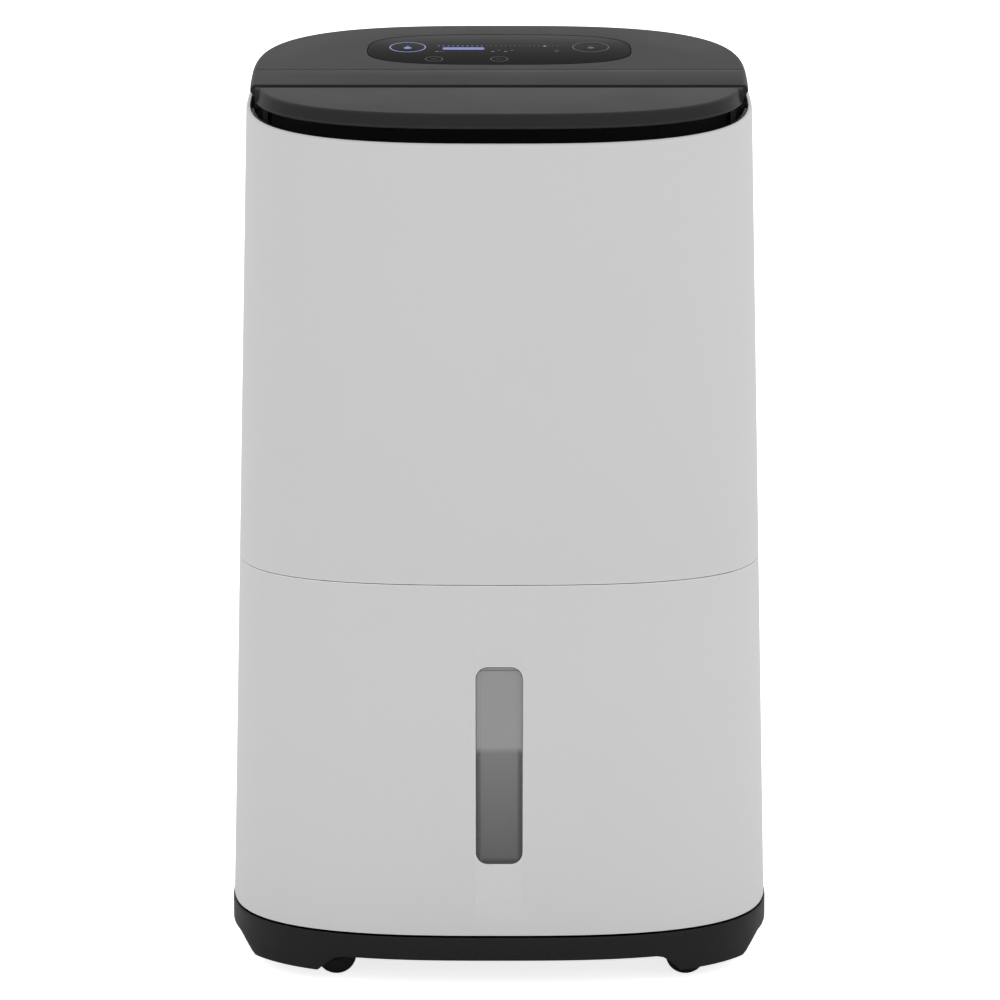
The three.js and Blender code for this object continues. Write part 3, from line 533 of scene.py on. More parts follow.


def smoked_window():
    """Smoked plastic: pale where the tank is empty, darker and deeper below the water line, with painted shade
    along the dished sides and foot, and a painted shadow line below the head.
    """
    material, wire, shader = surface("tank_window_smoke", {"Specular IOR Level": 0.2})
    place = wire.place()
    height = wire.part(place, "Z")
    lapped = wire.maths("ADD", height, wire.maths("MULTIPLY", wire.noise(place, 30.0, 2.0), 0.6 * MM))
    depth = wire.spread(lapped, WATER_LEVEL - WATER_FADE, WATER_LEVEL - 2 * MM)
    water = wire.blend(depth, grey(93), grey(123))
    above = wire.spread(lapped, WATER_LEVEL - 2.2 * MM, WATER_LEVEL + 1.8 * MM)
    # Painted shade along the window's dished sides and foot, below the water line.
    sides = wire.spread(wire.maths("ABSOLUTE", wire.part(place, "X")), *SHADED_SIDE)
    foot = wire.spread(height, *[WINDOW_LOW.z + rise for rise in SHADED_FOOT])
    # A painted shadow line just below the window's head.
    shadow_line = wire.maths("COMPARE", height, WINDOW_HIGH.z - SHADOW_LINE_DROP)
    shadow_line.node.inputs[2].default_value = SHADOW_LINE_HALF
    shaded = wire.maths("MULTIPLY", wire.maths("MAXIMUM", sides, foot), 0.55)
    deep = wire.blend(shaded, water, grey(62))
    pale = wire.blend(shadow_line, grey(150), grey(104))
    wire.link(wire.blend(above, deep, pale), shader.inputs["Base Color"])
    haze = wire.spread(wire.noise(place, 220.0, 4.0), 0.3, 0.7, 0.34, 0.4)
    wire.link(haze, shader.inputs["Roughness"])
    return material


def lamp(name, colour, power):
    """A printed mark lit from behind, a little uneven."""
    settings = {"Emission Strength": power, "Roughness": 0.3, "Specular IOR Level": 0.2}
    material, wire, shader = surface(name, settings)
    uneven = wire.spread(wire.noise(wire.place(), 400.0, 2.0), 0.3, 0.7)
    glow = wire.blend(uneven, darker(colour, 0.75), colour)
    wire.link(glow, shader.inputs["Base Color"])
    wire.link(glow, shader.inputs["Emission Color"])
    return material


def make_finishes():
    """The finish of each material slot, and of the two kinds of lit mark."""
    return {
        # The white's pale edge colour is mostly a painted highlight on its rounded edges, with a little wear.
        "white_plastic": moulded(
            "white_casing", grey(206), gloss=(0.46, 0.5), depth=0.02, worn_and_lit=grey(246), dusty=0.0,
            specular=0.4, mottle=0.008, rubbed_and_lit_reach=0.001),
        "grey_plastic": moulded(
            "grey_top", grey(41), gloss=(0.42, 0.46), depth=0.05, worn_and_lit=grey(58), dusty=0.004,
            specular=0.09, mottle=0.06),
        "black_plastic": moulded(
            "black_base", grey(25), gloss=(0.45, 0.55), depth=0.06, worn_and_lit=grey(48), dusty=0.01,
            specular=0.16),
        "outlet_black": moulded(
            "outlet_black", grey(56), gloss=(0.6, 0.7), depth=0.05, worn_and_lit=grey(66), dusty=0.0,
            specular=0.15),
        "panel_gloss": moulded(
            "panel_glass", grey(34), gloss=(0.08, 0.11), depth=0.0, worn_and_lit=grey(40), dusty=0.0,
            specular=0.004),
        "wheel_rubber": moulded(
            "castor_rubber", grey(20), gloss=(0.6, 0.7), depth=0.1, worn_and_lit=grey(34), dusty=0.1, specular=0.2),
        "seal_rubber": moulded(
            "soft_rubber", grey(26), gloss=(0.65, 0.75), depth=0.1, worn_and_lit=grey(40), specular=0.3),
        "inner_plastic": moulded(
            "inner_plastic", grey(160), gloss=(0.5, 0.6), depth=0.05, worn_and_lit=grey(180), dusty=0.1),
        "tank_clear": moulded(
            "tank_plastic", grey(196, (0, 2, 4)), gloss=(0.25, 0.35), depth=0.01, dusty=0.02),
        "float_foam": moulded(
            "float_foam", grey(225), gloss=(0.8, 0.9), grain=900.0, depth=0.3, dusty=0.02, specular=0.2),
        "circuit_board": moulded(
            "circuit_board", [0.012, 0.09, 0.04, 1], gloss=(0.3, 0.4), depth=0.02, dusty=0.1),
        "painted_steel": moulded(
            "black_enamel", grey(24), gloss=(0.2, 0.3), grain=300.0, depth=0.04, worn_and_lit=grey(60), coat=0.4),
        "steel": metal("bright_steel", grey(190), lines=(1, 1, 12)),
        "copper": metal("copper_tube", [0.62, 0.27, 0.14, 1], gloss=(0.25, 0.5)),
        "coil_aluminium": finned("coil_fins", grey(205), 0.0016),
        "filter_mesh": woven("filter_mesh_weave", grey(52), 0.0012),
        "window_smoke": smoked_window(),
        "display_lit": lamp("display_lit", [0.13, 0.16, 0.42, 1], 0.4),
        "display_dim": lamp("display_dim", [0.02, 0.022, 0.035, 1], 0.3),
    }


FINISH = make_finishes()


# ---------- White casing ----------
EDGE = 1.1 * MM
SEAM_EDGE = 0.35 * MM
RIM_ROUND = 2.2 * MM
FINGER_GAP = {"front": -0.011, "back": 0.025, "low": 0.1183, "high": 0.1877, "deep": 0.06}


def rim_rings(top):
    """The rounded top edge of a wall, from outside to inside."""
    rings = []
    for step in range(6):
        angle = math.radians(18 * step)
        level = lower(top, RIM_ROUND * (1 - math.sin(angle)))
        rings.append(body_ring(RIM_ROUND * (1 - math.cos(angle)), level))
    return rings + [body_ring(WALL, lower(top, 0.3 * MM))]


def shell(name, low, top_rings, edge=EDGE):
    """A thin-walled oval shell with a small round along its foot."""
    rings = [body_ring(WALL, flat(low)), body_ring(edge, flat(low)),
             body_ring(edge * 0.25, flat(low + edge * 0.25)), body_ring(0, flat(low + edge))]
    return loft(name, rings + top_rings, hollow=True)


def soften_seam(piece, y):
    """Rounds the long upright outer edges where two shells meet."""
    def upright(edge):
        a, b = edge.verts[0].co, edge.verts[1].co
        at_seam = max(abs(a.y - y), abs(b.y - y)) < 0.05 * MM
        outer = abs(a.x) > half_sizes(a.z)[0] - 0.5 * WALL
        return at_seam and outer and abs(a.z - b.z) > 20 * MM
    round_edges(piece, upright, 0.5 * MM, 3)


def make_front_casing():
    piece = shell("front_casing_shell", CASING_LOW - 0.35 * MM, rim_rings(rim), SEAM_EDGE)
    slice_off(piece, (0, SPLIT, 0), (0, 1, 0))
    soften_seam(piece, SPLIT)
    finish(soften(piece, 0), "white_plastic", "chassis", "front_casing")


def make_rear_casing():
    piece = shell("rear_casing_shell", COVER_LOW.z, rim_rings(rim))
    slice_off(piece, (0, SPLIT + SEAM, 0), (0, -1, 0))
    low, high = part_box("intake_grille")
    margin = 0.5 * MM
    carve(piece, rounded_block("opening", (low.x - margin, 0.04, low.z - margin),
                               (high.x + margin, 0.2, high.z + margin), 1, 6 * MM))
    for node, radius in (("cord_gland", 7.6), ("drain_spigot", 8.6)):
        low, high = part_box(node)
        middle = (low + high) / 2
        carve(piece, rod("hole", (middle.x, 0.05, middle.z), (middle.x, 0.21, middle.z), radius * MM, 44))
    gap = FINGER_GAP
    gaps = [rounded_block("finger_gap", (x, gap["front"], gap["low"]),
                          (x + gap["deep"], gap["back"], gap["high"]), 0, 4.6 * MM, 6)
            for x in (-0.191, 0.131)]
    carve(piece, join("finger_gaps", gaps))
    soften_seam(piece, SPLIT + SEAM)
    finish(soften(piece, 0), "white_plastic", "chassis", "rear_casing")


# ---------- Tank ----------
def window_block(name, grow, front, back):
    low = (WINDOW_LOW.x - grow, front, WINDOW_LOW.z - grow)
    high = (WINDOW_HIGH.x + grow, back, WINDOW_HIGH.z + grow)
    return rounded_block(name, low, high, 1, WINDOW_ROUND + grow)


def make_tank_cover():
    top = COVER_HIGH.z
    top_rings = [body_ring(0, flat(top - SEAM_EDGE)),
                 body_ring(SEAM_EDGE * 0.25, flat(top - SEAM_EDGE * 0.25)),
                 body_ring(SEAM_EDGE, flat(top)), body_ring(WALL, flat(top))]
    piece = shell("tank_cover_shell", COVER_LOW.z + 0.3 * MM, top_rings)
    slice_off(piece, (0, SPLIT, 0), (0, 1, 0))
    carve(piece, window_block("window_cut", 0.35 * MM, -0.2, -0.05))
    def window_edge(edge):
        inside = all(abs(v.co.x) < 0.016 and WINDOW_LOW.z - MM < v.co.z < WINDOW_HIGH.z + MM
                     and v.co.y < -side_wall(v.co.x, v.co.z) + 0.2 * MM for v in edge.verts)
        return inside and edge.calc_face_angle(0) > 1.0
    round_edges(piece, window_edge, 0.45 * MM, 3)
    soften_seam(piece, SPLIT)
    finish(soften(piece, 0), "white_plastic", "tank", "tank_cover")


def make_tank_window():
    """A shallow dish of smoked plastic that follows the cover's wall."""
    piece = window_block("tank_window_lens", -0.05 * MM, 0.0, 3 * MM)
    edit(piece)
    pick("faces", lambda face: face.normal.y < -0.9)
    bpy.ops.mesh.inset(thickness=0.5 * MM, depth=0)
    bpy.ops.mesh.inset(thickness=0.5 * MM, depth=-1.0 * MM)
    bpy.ops.mesh.inset(thickness=1.3 * MM, depth=-0.3 * MM)
    bpy.ops.mesh.inset(thickness=0.3 * MM, depth=-0.4 * MM)
    leave()
    for vert in piece.data.vertices:
        vert.co.y += 0.5 * MM - side_wall(vert.co.x, vert.co.z)
    finish(soften(piece, 0.2 * MM, smooth=25), "window_smoke", "tank", "tank_window")


BUCKET_INSET = 3.4 * MM
INLET_Y = -20 * MM


def make_tank_bucket():
    low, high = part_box("tank_bucket")
    wall, round_foot = 2.2 * MM, 5 * MM

    def cup(name, foot, top, inset, back):
        rings = []
        for step in range(5):
            angle = math.radians(22.5 * step)
            level = flat(foot + round_foot * (1 - math.cos(angle)))
            rings.append(body_ring(inset + round_foot * (1 - math.sin(angle)), level))
        piece = loft(name, rings + [body_ring(inset, flat(top))])
        return slice_off(piece, (0, back, 0), (0, 1, 0))
    piece = cup("tank_bucket_body", low.z, high.z, BUCKET_INSET, high.y)
    carve(piece, cup("inside", low.z + wall, high.z + 0.01, BUCKET_INSET + wall, high.y - wall))
    finish(soften(piece, 0.6 * MM, 3), "tank_clear", "tank", "tank_bucket")


def make_tank_lid():
    low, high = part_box("tank_lid")
    bucket_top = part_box("tank_bucket")[1].z
    foot, top, inset = bucket_top + 0.4 * MM, bucket_top + 3 * MM, BUCKET_INSET
    piece = loft("tank_lid_plate", [body_ring(inset, flat(foot)), body_ring(inset, flat(top))])
    slice_off(piece, (0, high.y, 0), (0, 1, 0))
    tray = loft("tray", [body_ring(inset + 5 * MM, flat(level)) for level in (top - 1.1 * MM, top + 0.01)])
    carve(piece, slice_off(tray, (0, high.y - 5 * MM, 0), (0, 1, 0)))
    funnel = turned("funnel", [(14.9, 0), (17.4, 0), (17.4, 2.2), (16.4, 2.8), (15.4, 2.8), (14.9, 2.4)],
                    (0, INLET_Y, foot), hollow=True)
    carve(piece, rod("inlet", (0, INLET_Y, 0.2), (0, INLET_Y, 0.3), 15 * MM))
    weld(piece, funnel)
    carve(piece, block("spout", (-FAR, -FAR, 0.1), (-0.118, -0.054, 0.4)))
    _, y, z = JOINTS["strap_lift"]["pos_m"]
    ears(piece, [(-0.1276, -0.1246), (0.1246, 0.1276)], (y - 4 * MM, top - 2 * MM), (y + 4 * MM, z + 4 * MM),
         2 * MM, (y, z), 2 * MM)
    x, y, z = JOINTS["float_lift"]["pos_m"]
    ears(piece, [(x - 12 * MM, x - 9 * MM), (x + 9 * MM, x + 12 * MM)], (y - 5 * MM, low.z),
         (y + 5 * MM, foot + 1 * MM), 3 * MM, (y, z), 2.3 * MM)
    finish(soften(piece, 0.35 * MM), "inner_plastic", "tank", "tank_lid")


def make_tank_strap():
    low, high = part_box("tank_strap")
    pivot = JOINTS["strap_lift"]["pos_m"]
    half, band = 0.124, 0.011
    piece = rounded_block("tank_strap_bail", (-half, low.y, low.z), (half, high.y, high.z), 2, 9 * MM, 8)
    carve(piece, rounded_block("cut", (-half + band, low.y + band, 0.2), (half - band, high.y + 0.05, 0.3),
                               2, 6 * MM, 8))
    weld(piece, rod("pin_right", (half - 2 * MM, *pivot[1:]), (high.x, *pivot[1:]), 1.6 * MM, 24),
         rod("pin_left", (2 * MM - half, *pivot[1:]), (low.x, *pivot[1:]), 1.6 * MM, 24))
    finish(soften(piece, 0.8 * MM, 3), "grey_plastic", "strap", "tank_strap")


def make_tank_float():
    low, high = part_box("tank_float")
    x, y, z = JOINTS["float_lift"]["pos_m"]
    piece = rounded_block("tank_float_block", low, (high.x, y - 44 * MM, z - 6 * MM), 2, 5 * MM, 6)
    weld(piece, block("arm", (x - 4 * MM, low.y + 0.02, z - 8 * MM), (x + 4 * MM, y, z - 2 * MM)),
         rod("hub", (x - 8 * MM, y, z), (x + 8 * MM, y, z), 4 * MM),
         rod("pin", (x - 11.6 * MM, y, z), (x + 11.6 * MM, y, z), 1.9 * MM, 24))
    finish(soften(piece, 0.8 * MM, 3), "float_foam", "float", "tank_float")


# ---------- Base and castors ----------
BASE_LOW, BASE_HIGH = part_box("base_tray")
BASE = {"raised": 17.8 * MM, "floor": 20.4 * MM, "top": 32.3 * MM, "pocket": 22.4 * MM, "ceiling": 28.5 * MM}


def skirt_edge(x, y):
    """The base's lower edge: low at the corners, raised between them."""
    corner = sweep(abs(x), 0.098, 0.1115) * sweep(abs(y), 0.054, 0.0755)
    return BASE["raised"] + (BASE_LOW.z - BASE["raised"]) * corner


def make_base_tray():
    half_width, half_depth = BASE_HIGH.x, BASE_HIGH.y

    def ring(inset, level):
        return oval(half_width - inset, half_depth - inset, level)

    def climb(share):
        """Levels spread between the lower edge and the top."""
        top = BASE["top"] - 1.5 * MM
        return lambda x, y: skirt_edge(x, y) + 0.7 * MM + share * (top - skirt_edge(x, y) - 0.7 * MM)
    top = BASE["top"]
    rings = [
        ring(WALL, flat(BASE["raised"] + 0.6 * MM)),
        ring(WALL, lambda x, y: min(skirt_edge(x, y), BASE["raised"]) + 0.4 * MM),
        ring(1.9 * MM, skirt_edge), ring(0.6 * MM, skirt_edge), ring(0.15 * MM, lower(skirt_edge, -0.2 * MM)),
        *[ring(0, climb(share)) for share in (0, 0.2, 0.4, 0.6, 0.8, 1)],
        ring(0.1 * MM, flat(top - 0.8 * MM)), ring(0.3 * MM, flat(top - 0.3 * MM)), ring(0.6 * MM, flat(top)),
        ring(0.9 * MM, flat(top)), ring(1.1 * MM, flat(top - 0.3 * MM)), ring(1.2 * MM, flat(top - 4 * MM)),
        ring(WALL, flat(top - 4 * MM)), ring(WALL, flat(BASE["floor"])),
    ]
    piece = loft("base_tray_body", rings)
    pivots = [Vector(JOINTS[name]["pos_m"]) for name in JOINTS if name.startswith("swivel")]

    def at_pivots(name, radius, foot, head):
        return join(name, [rod(name, (p.x, p.y, foot), (p.x, p.y, head), radius, 96) for p in pivots])
    pocket, ceiling = BASE["pocket"], BASE["ceiling"]
    weld(piece, at_pivots("boss", pocket + 1.4 * MM, BASE["raised"] + 0.9 * MM, ceiling + WALL))
    carve(piece, at_pivots("pocket", pocket, 0, ceiling))
    weld(piece, at_pivots("socket", 7 * MM, ceiling + 1 * MM, 34 * MM))
    carve(piece, at_pivots("bore", 3.4 * MM, 0, 0.1))
    finish(soften(piece, 0), "black_plastic", "chassis", "base_tray")


NECK_FOOT = 10 * MM


def make_castors():
    radius = JOINTS["roll_front_left"]["pos_m"][2] / MM
    disc = [(0, -8.0), (3.0, -8.0), (3.6, -8.7), (5.2, -8.7), (5.8, -9.0), (radius - 2.2, -9.0),
            (radius - 0.7, -8.4), (radius - 0.1, -7.2), (radius, -6.2), (radius - 0.1, -5.0),
            (radius - 0.8, -4.0), (radius - 1.6, -3.8), (2.4, -3.8)]
    profile = disc + [(r, -h) for r, h in reversed(disc)]
    for corner in ("front_left", "front_right", "rear_left", "rear_right"):
        axle = Vector(JOINTS["roll_" + corner]["pos_m"])
        pivot = Vector(JOINTS["swivel_" + corner]["pos_m"])
        wheel = turned("castor_wheel_" + corner + "_tyre", profile, axle, "Y", points=72)
        finish(soften(wheel, 0), "wheel_rubber", "wheel_" + corner, "castor_wheel_" + corner)
        neck = block("castor_fork_" + corner + "_neck", (pivot.x - 9 * MM, pivot.y - 3.3 * MM, 6.2 * MM),
                     (axle.x + 8 * MM, pivot.y + 3.3 * MM, 26.5 * MM))
        edit(neck)
        pick("verts", lambda vert: vert.co.z < NECK_FOOT)
        bpy.ops.transform.resize(value=(0.42, 1, 1), center_override=(axle.x, pivot.y, 6 * MM))
        round_edges(neck, lambda edge: runs_along(edge, 1) and edge.verts[0].co.z < NECK_FOOT, 4 * MM, 6)
        plate = turned("plate", [(12.4, 0), (13, 0.6), (13, 1.5), (12.4, 2.1)],
                       (pivot.x, pivot.y, 25.5 * MM), points=72)
        stem = turned("stem", [(3, 0), (3, 6.4), (2.2, 7.2)], (pivot.x, pivot.y, 26 * MM), points=32)
        weld(neck, plate, stem)
        reach = Vector((0, 20 * MM, 0))
        carve(neck, rod("axle_hole", axle - reach, axle + reach, 2.9 * MM, 32))
        finish(soften(neck, 0.3 * MM), "black_plastic", "castor_" + corner,
               "castor_fork_" + corner)


# ---------- Air outlet ----------
BEZEL_DROP = 14 * MM
DUCT_LOW, DUCT_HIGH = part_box("outlet_duct")


def make_outlet_bezel():
    outer, inner = 2.9 * MM, 5.1 * MM
    rings = [body_ring(inner, lower(rim, BEZEL_DROP)), body_ring(outer, lower(rim, BEZEL_DROP)),
             body_ring(outer, lower(rim, 1.2 * MM)), body_ring(outer + 0.25 * MM, lower(rim, 0.7 * MM)),
             body_ring(outer + 0.8 * MM, lower(rim, 0.5 * MM)),
             body_ring(inner - 0.5 * MM, lower(rim, 0.5 * MM)), body_ring(inner, lower(rim, 1.0 * MM))]
    piece = loft("outlet_bezel_ring", rings, hollow=True)
    slice_off(piece, (0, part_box("outlet_bezel")[1].y, 0), (0, 1, 0))
    finish(soften(piece, 0), "grey_plastic", "chassis", "outlet_bezel")


def make_outlet_duct():
    outer, inner, floor = 3.0 * MM, 5.5 * MM, DUCT_LOW.z
    top = lower(rim, BEZEL_DROP + 0.4 * MM)
    rings = [body_ring(outer, flat(floor)), body_ring(outer, top), body_ring(inner, top),
             body_ring(inner + 1.5 * MM, flat(floor + 2.4 * MM))]
    piece = loft("outlet_duct_cup", rings)
    back = DUCT_HIGH.y
    slice_off(piece, (0, back, 0), (0, 1, 0))
    weld(piece, block("back_wall", (-0.139, back - 2.4 * MM, floor), (0.139, back, 0.532)))
    carve(piece, rounded_block("throat", (-0.091, -0.081, 0.4), (0.091, back - 6 * MM, 0.5), 2, 6 * MM))
    _, y, z = JOINTS["flap_tilt"]["pos_m"]
    for side in (-1, 1):
        a, b = sorted((side * 0.141, side * 0.144))
        weld(piece, block("foot", (a, y - 8 * MM, floor), (b, back - 0.5 * MM, z - 14 * MM)),
             block("post", (a, y - 3.4 * MM, floor + 0.01), (b, y + 3.4 * MM, z)),
             rod("eye", (a, y, z), (b, y, z), 3.4 * MM, 32))
        carve(piece, rod("eye_hole", (a - 0.01, y, z), (b + 0.01, y, z), 2.2 * MM, 32))
    finish(soften(piece, 0), "outlet_black", "chassis", "outlet_duct")


def make_outlet_vanes():
    low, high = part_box("outlet_vanes")
    count = 25
    pieces = [block("bar", (low.x, y, low.z + 1 * MM), (high.x, y + 3 * MM, low.z + 7 * MM))
              for y in (low.y + 10 * MM, high.y - 13 * MM)]
    for number in range(count):
        x = low.x + 1 * MM + (high.x - low.x - 2 * MM) * number / (count - 1)
        vane = block("vane", (x - 0.6 * MM, low.y, low.z), (x + 0.6 * MM, high.y, high.z))
        round_edges(vane, lambda edge: min(v.co.z for v in edge.verts) > high.z - MM, 0.5 * MM, 3)
        pieces.append(vane)
    comb = weld(pieces[0], join("vanes", pieces[1:]))
    comb.name = "outlet_vane_comb"
    finish(soften(comb, 0), "outlet_black", "chassis", "outlet_vanes")


FLAP_SLOPE = math.tan(math.radians(6.1))
BARREL = 6.5 * MM


def flap_top(x, y):
    _, axis_y, axis_z = JOINTS["flap_tilt"]["pos_m"]
    return axis_z + BARREL * math.hypot(1, FLAP_SLOPE) + FLAP_SLOPE * (y - axis_y)


def make_outlet_flap():
    """A D-shaped lid whose face leans out to a fine lip, hung on a round barrel."""
    _, axis_y, axis_z = JOINTS["flap_tilt"]["pos_m"]

    def ring(half_width, half_depth, drop):
        return oval(half_width * MM, half_depth * MM, lower(flap_top, drop * MM))
    rings = [ring(*sizes) for sizes in (
        (149.4, 110.2, 8.5), (150.2, 111.0, 8.4), (150.5, 111.3, 8.0), (150.5, 111.3, 7.3),
        (150.1, 110.9, 7.0), (149.7, 110.3, 5.0), (149.4, 109.6, 3.2))]
    for step in range(1, 8):
        angle = math.radians(90 / 7 * step)
        out = 3.2 * math.cos(angle)
        rings.append(ring(146.2 + out, 106.4 + out, 3.0 - 3.0 * math.sin(angle)))
    piece = loft("outlet_flap_lid", rings)
    carve(piece, loft("underside", [ring(147.6, 108.2, 12), ring(145.8, 105.4, 2.8)]))
    slice_off(piece, (0, axis_y, 0), (0, 1, 0))
    weld(piece, rod("barrel", (-0.1485, axis_y, axis_z), (0.1485, axis_y, axis_z), BARREL, 96))
    ceiling = axis_z + 3.7 * MM
    for side in (-1, 1):
        a, b = sorted((side * 0.1386, side * 0.1600))
        carve(piece, block("end_relief", (a, axis_y, 0.4), (b, 0, ceiling)))
        a, b = sorted((side * 0.1386, side * 0.1454))
        carve(piece, block("ear_pocket", (a, axis_y - 10 * MM, 0.4), (b, 0, ceiling)))
        carve(piece, rod("pin_hole", (side * 0.1206, axis_y, axis_z), (side * 0.14, axis_y, axis_z),
                         2.2 * MM, 32))
    finish(soften(piece, 0), "grey_plastic", "flap", "outlet_flap")


# ---------- Top ----------
HANDLE_FRONT, HANDLE_BACK = -25.3 * MM, 8.7 * MM
COVER_FRONT = 9.5 * MM


def top_block(name):
    """The whole rounded top, from below the rim to its rolled edge."""
    roll, rise = 3.2 * MM, 4 * MM
    rings = [oval(0.1472, 0.1064, lower(rim, 9 * MM)), oval(0.1479, 0.1071, lower(rim, 1 * MM)),
             oval(0.1486, 0.1080, lower(lid, 9.2 * MM), 2.95),
             oval(0.1502, 0.1100, lower(lid, 7.4 * MM), 2.97), oval(0.1520, 0.1122, lower(lid, 5.4 * MM), 3)]
    for step in range(9):
        angle = math.radians(90 / 8 * step)
        inset = roll * (1 - math.cos(angle))
        rings.append(oval(0.1529 - inset, 0.1134 - inset, lower(lid, rise * (1 - math.sin(angle))), 3))
    return loft(name, rings)


def on_lid(piece):
    """Lays a piece drawn flat on the sloping top."""
    piece.data.transform(Matrix.Translation((0, 0, LID_HEIGHT)) @ Matrix.Rotation(LID_TILT, 4, "X"))
    return piece


PANEL = {"half_width": 82.5 * MM, "half_depth": 35 * MM, "middle": 55.3 * MM, "roundness": 3.1}


def panel_plate(name, rings):
    """A rounded plate in the panel's place, from (growth, height) pairs in millimetres."""
    half_width, half_depth = PANEL["half_width"], PANEL["half_depth"]
    shapes = [oval(half_width + grow * MM, half_depth + grow * MM, flat(height * MM), PANEL["roundness"])
              for grow, height in rings]
    piece = loft(name, shapes, points=160)
    piece.data.transform(Matrix.Translation((0, PANEL["middle"], 0)))
    return on_lid(piece)


def make_top_cover():
    piece = top_block("top_cover_lid")
    slice_off(piece, (0, COVER_FRONT, 0), (0, -1, 0))
    hollow = loft("hollow", [oval(0.1442, 0.1034, lower(rim, 20 * MM)), oval(0.1452, 0.1044, rim),
                             oval(0.1462, 0.1056, lower(lid, 8 * MM), 2.95)])
    carve(piece, slice_off(hollow, (0, COVER_FRONT + WALL, 0), (0, -1, 0)))
    half, floor, plate = 139 * MM, 24 * MM, 3 * MM
    under = lower(lid, floor + plate)
    weld(piece,
         sloped_block("bridge", (-half, -0.025), (half, COVER_FRONT + 1 * MM), under, lower(lid, floor)),
         sloped_block("riser", (-half, COVER_FRONT), (half, COVER_FRONT + WALL), under, lower(lid, 12 * MM)))
    carve(piece, panel_plate("panel_seat", [(0.45, -2.8), (0.45, -0.4), (0.85, 0.02), (0.85, 3)]))
    carve(piece, panel_plate("panel_window", [(-4, -20), (-4, 3)]))
    finish(soften(piece, 0.35 * MM, 3), "grey_plastic", "chassis", "top_cover")


def make_control_panel():
    edge = [(0, -2.4), (0, -0.7), (-0.12, -0.3), (-0.4, -0.08), (-0.8, 0)]
    piece = panel_plate("control_panel_glass", edge)
    finish(soften(piece, 0), "panel_gloss", "chassis", "control_panel")


def make_carry_handle():
    piece = top_block("carry_handle_bar")
    slice_off(piece, (0, HANDLE_FRONT, 0), (0, -1, 0))
    slice_off(piece, (0, HANDLE_BACK, 0), (0, 1, 0))
    inner, outer, foot = 0.1415, 0.1465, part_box("carry_handle")[0].z
    carve(piece, sloped_block("hand_gap", (-inner, -0.1), (inner, 0.1), flat(0.4), lower(lid, 9 * MM)))
    for side in (-1, 1):
        a, b = sorted((side * inner, side * outer))
        weld(piece, block("leg", (a, HANDLE_FRONT + 4 * MM, foot + 1 * MM), (b, HANDLE_BACK - 4 * MM, 0.541)),
             block("stop", (a, HANDLE_FRONT + 1.4 * MM, foot), (b, HANDLE_BACK - 1.4 * MM, foot + 3 * MM)))
    finish(soften(piece, 0.35 * MM, 3), "grey_plastic", "handle", "carry_handle")


# ---------- Panel marks ----------
MARK = 0.12 * MM


def disc_mark(x, y, radius, inner=0.0):
    """A flat disc or ring printed on the panel."""
    deselect()
    bpy.ops.mesh.primitive_circle_add(vertices=48, radius=radius * MM, fill_type="NGON")
    piece = bpy.context.object
    edit(piece)
    if inner:
        bpy.ops.mesh.inset(thickness=(radius - inner) * MM, depth=0)
        bpy.ops.mesh.delete(type="FACE")
    bpy.ops.mesh.select_all(action="SELECT")
    bpy.ops.mesh.extrude_region_move(TRANSFORM_OT_translate={"value": (0, 0, MARK)})
    face_out()
    piece.data.transform(Matrix.Translation((x * MM, y * MM, 0)))
    return piece


def bar_mark(x0, x1, y0, y1):
    radius = 0.3 * min(x1 - x0, y1 - y0) * MM
    return rounded_block("bar", (x0 * MM, y0 * MM, 0), (x1 * MM, y1 * MM, MARK), 2, radius, 3)


def drop_mark(x, y, size):
    """A water drop: a disc with its top drawn out to a point."""
    piece = disc_mark(x, y, size)
    for vert in piece.data.vertices:
        rise = min(1.0, (vert.co.y / MM - y) / size)
        if rise > 0:
            vert.co.x = x * MM + (vert.co.x - x * MM) * (1 - rise ** 1.2) ** 0.9
            vert.co.y += 0.7 * size * rise ** 2 * MM
    return piece


def lay_marks(name, marks, look):
    piece = join(name, marks)
    piece.data.transform(Matrix.Translation((0, 0, 0.02 * MM)))
    finish(on_lid(piece), "panel_gloss", "chassis", look=look)


def make_panel_marks():
    """Generic signs only: rings, a drop, a level bar, ticks, dots and two touch spots."""
    lit = [disc_mark(-57.6, 60, 11.6, 10.7), drop_mark(-57.6, 58.6, 2.6), bar_mark(-35.6, -9.3, 54.2, 59.6)]
    lit += [bar_mark(x - 0.35, x + 0.35, 62.3, 63.9) for x in range(-38, -8, 3)]
    lit += [disc_mark(28.6, 62.6, 1.1)]
    dim = [disc_mark(57.6, 60, 11.6, 10.9), drop_mark(57.6, 58.8, 2.2)]
    dim += [bar_mark(x - 0.3, x + 0.3, 62.3, 63.9) for x in range(-8, 39, 3)]
    dim += [bar_mark(x - 1.2, x + 1.2, 52.2, 53.2) for x in (0, 8, 36)]
    dim += [disc_mark(x, 49.6, 1.3, 0.9) for x in (-36, 36)]
    for x in (-40.6, 0):
        dim += [disc_mark(x, 32.5, 5.6, 5.1), bar_mark(x - 2, x + 2, 32.2, 32.8)]
    lit += [bar_mark(x - 1, x + 1, 49.4, 50.2) for x in (-39, -4, 4)]
    lay_marks("display_marks_lit", lit, "display_lit")
    lay_marks("display_marks_dim", dim, "display_dim")


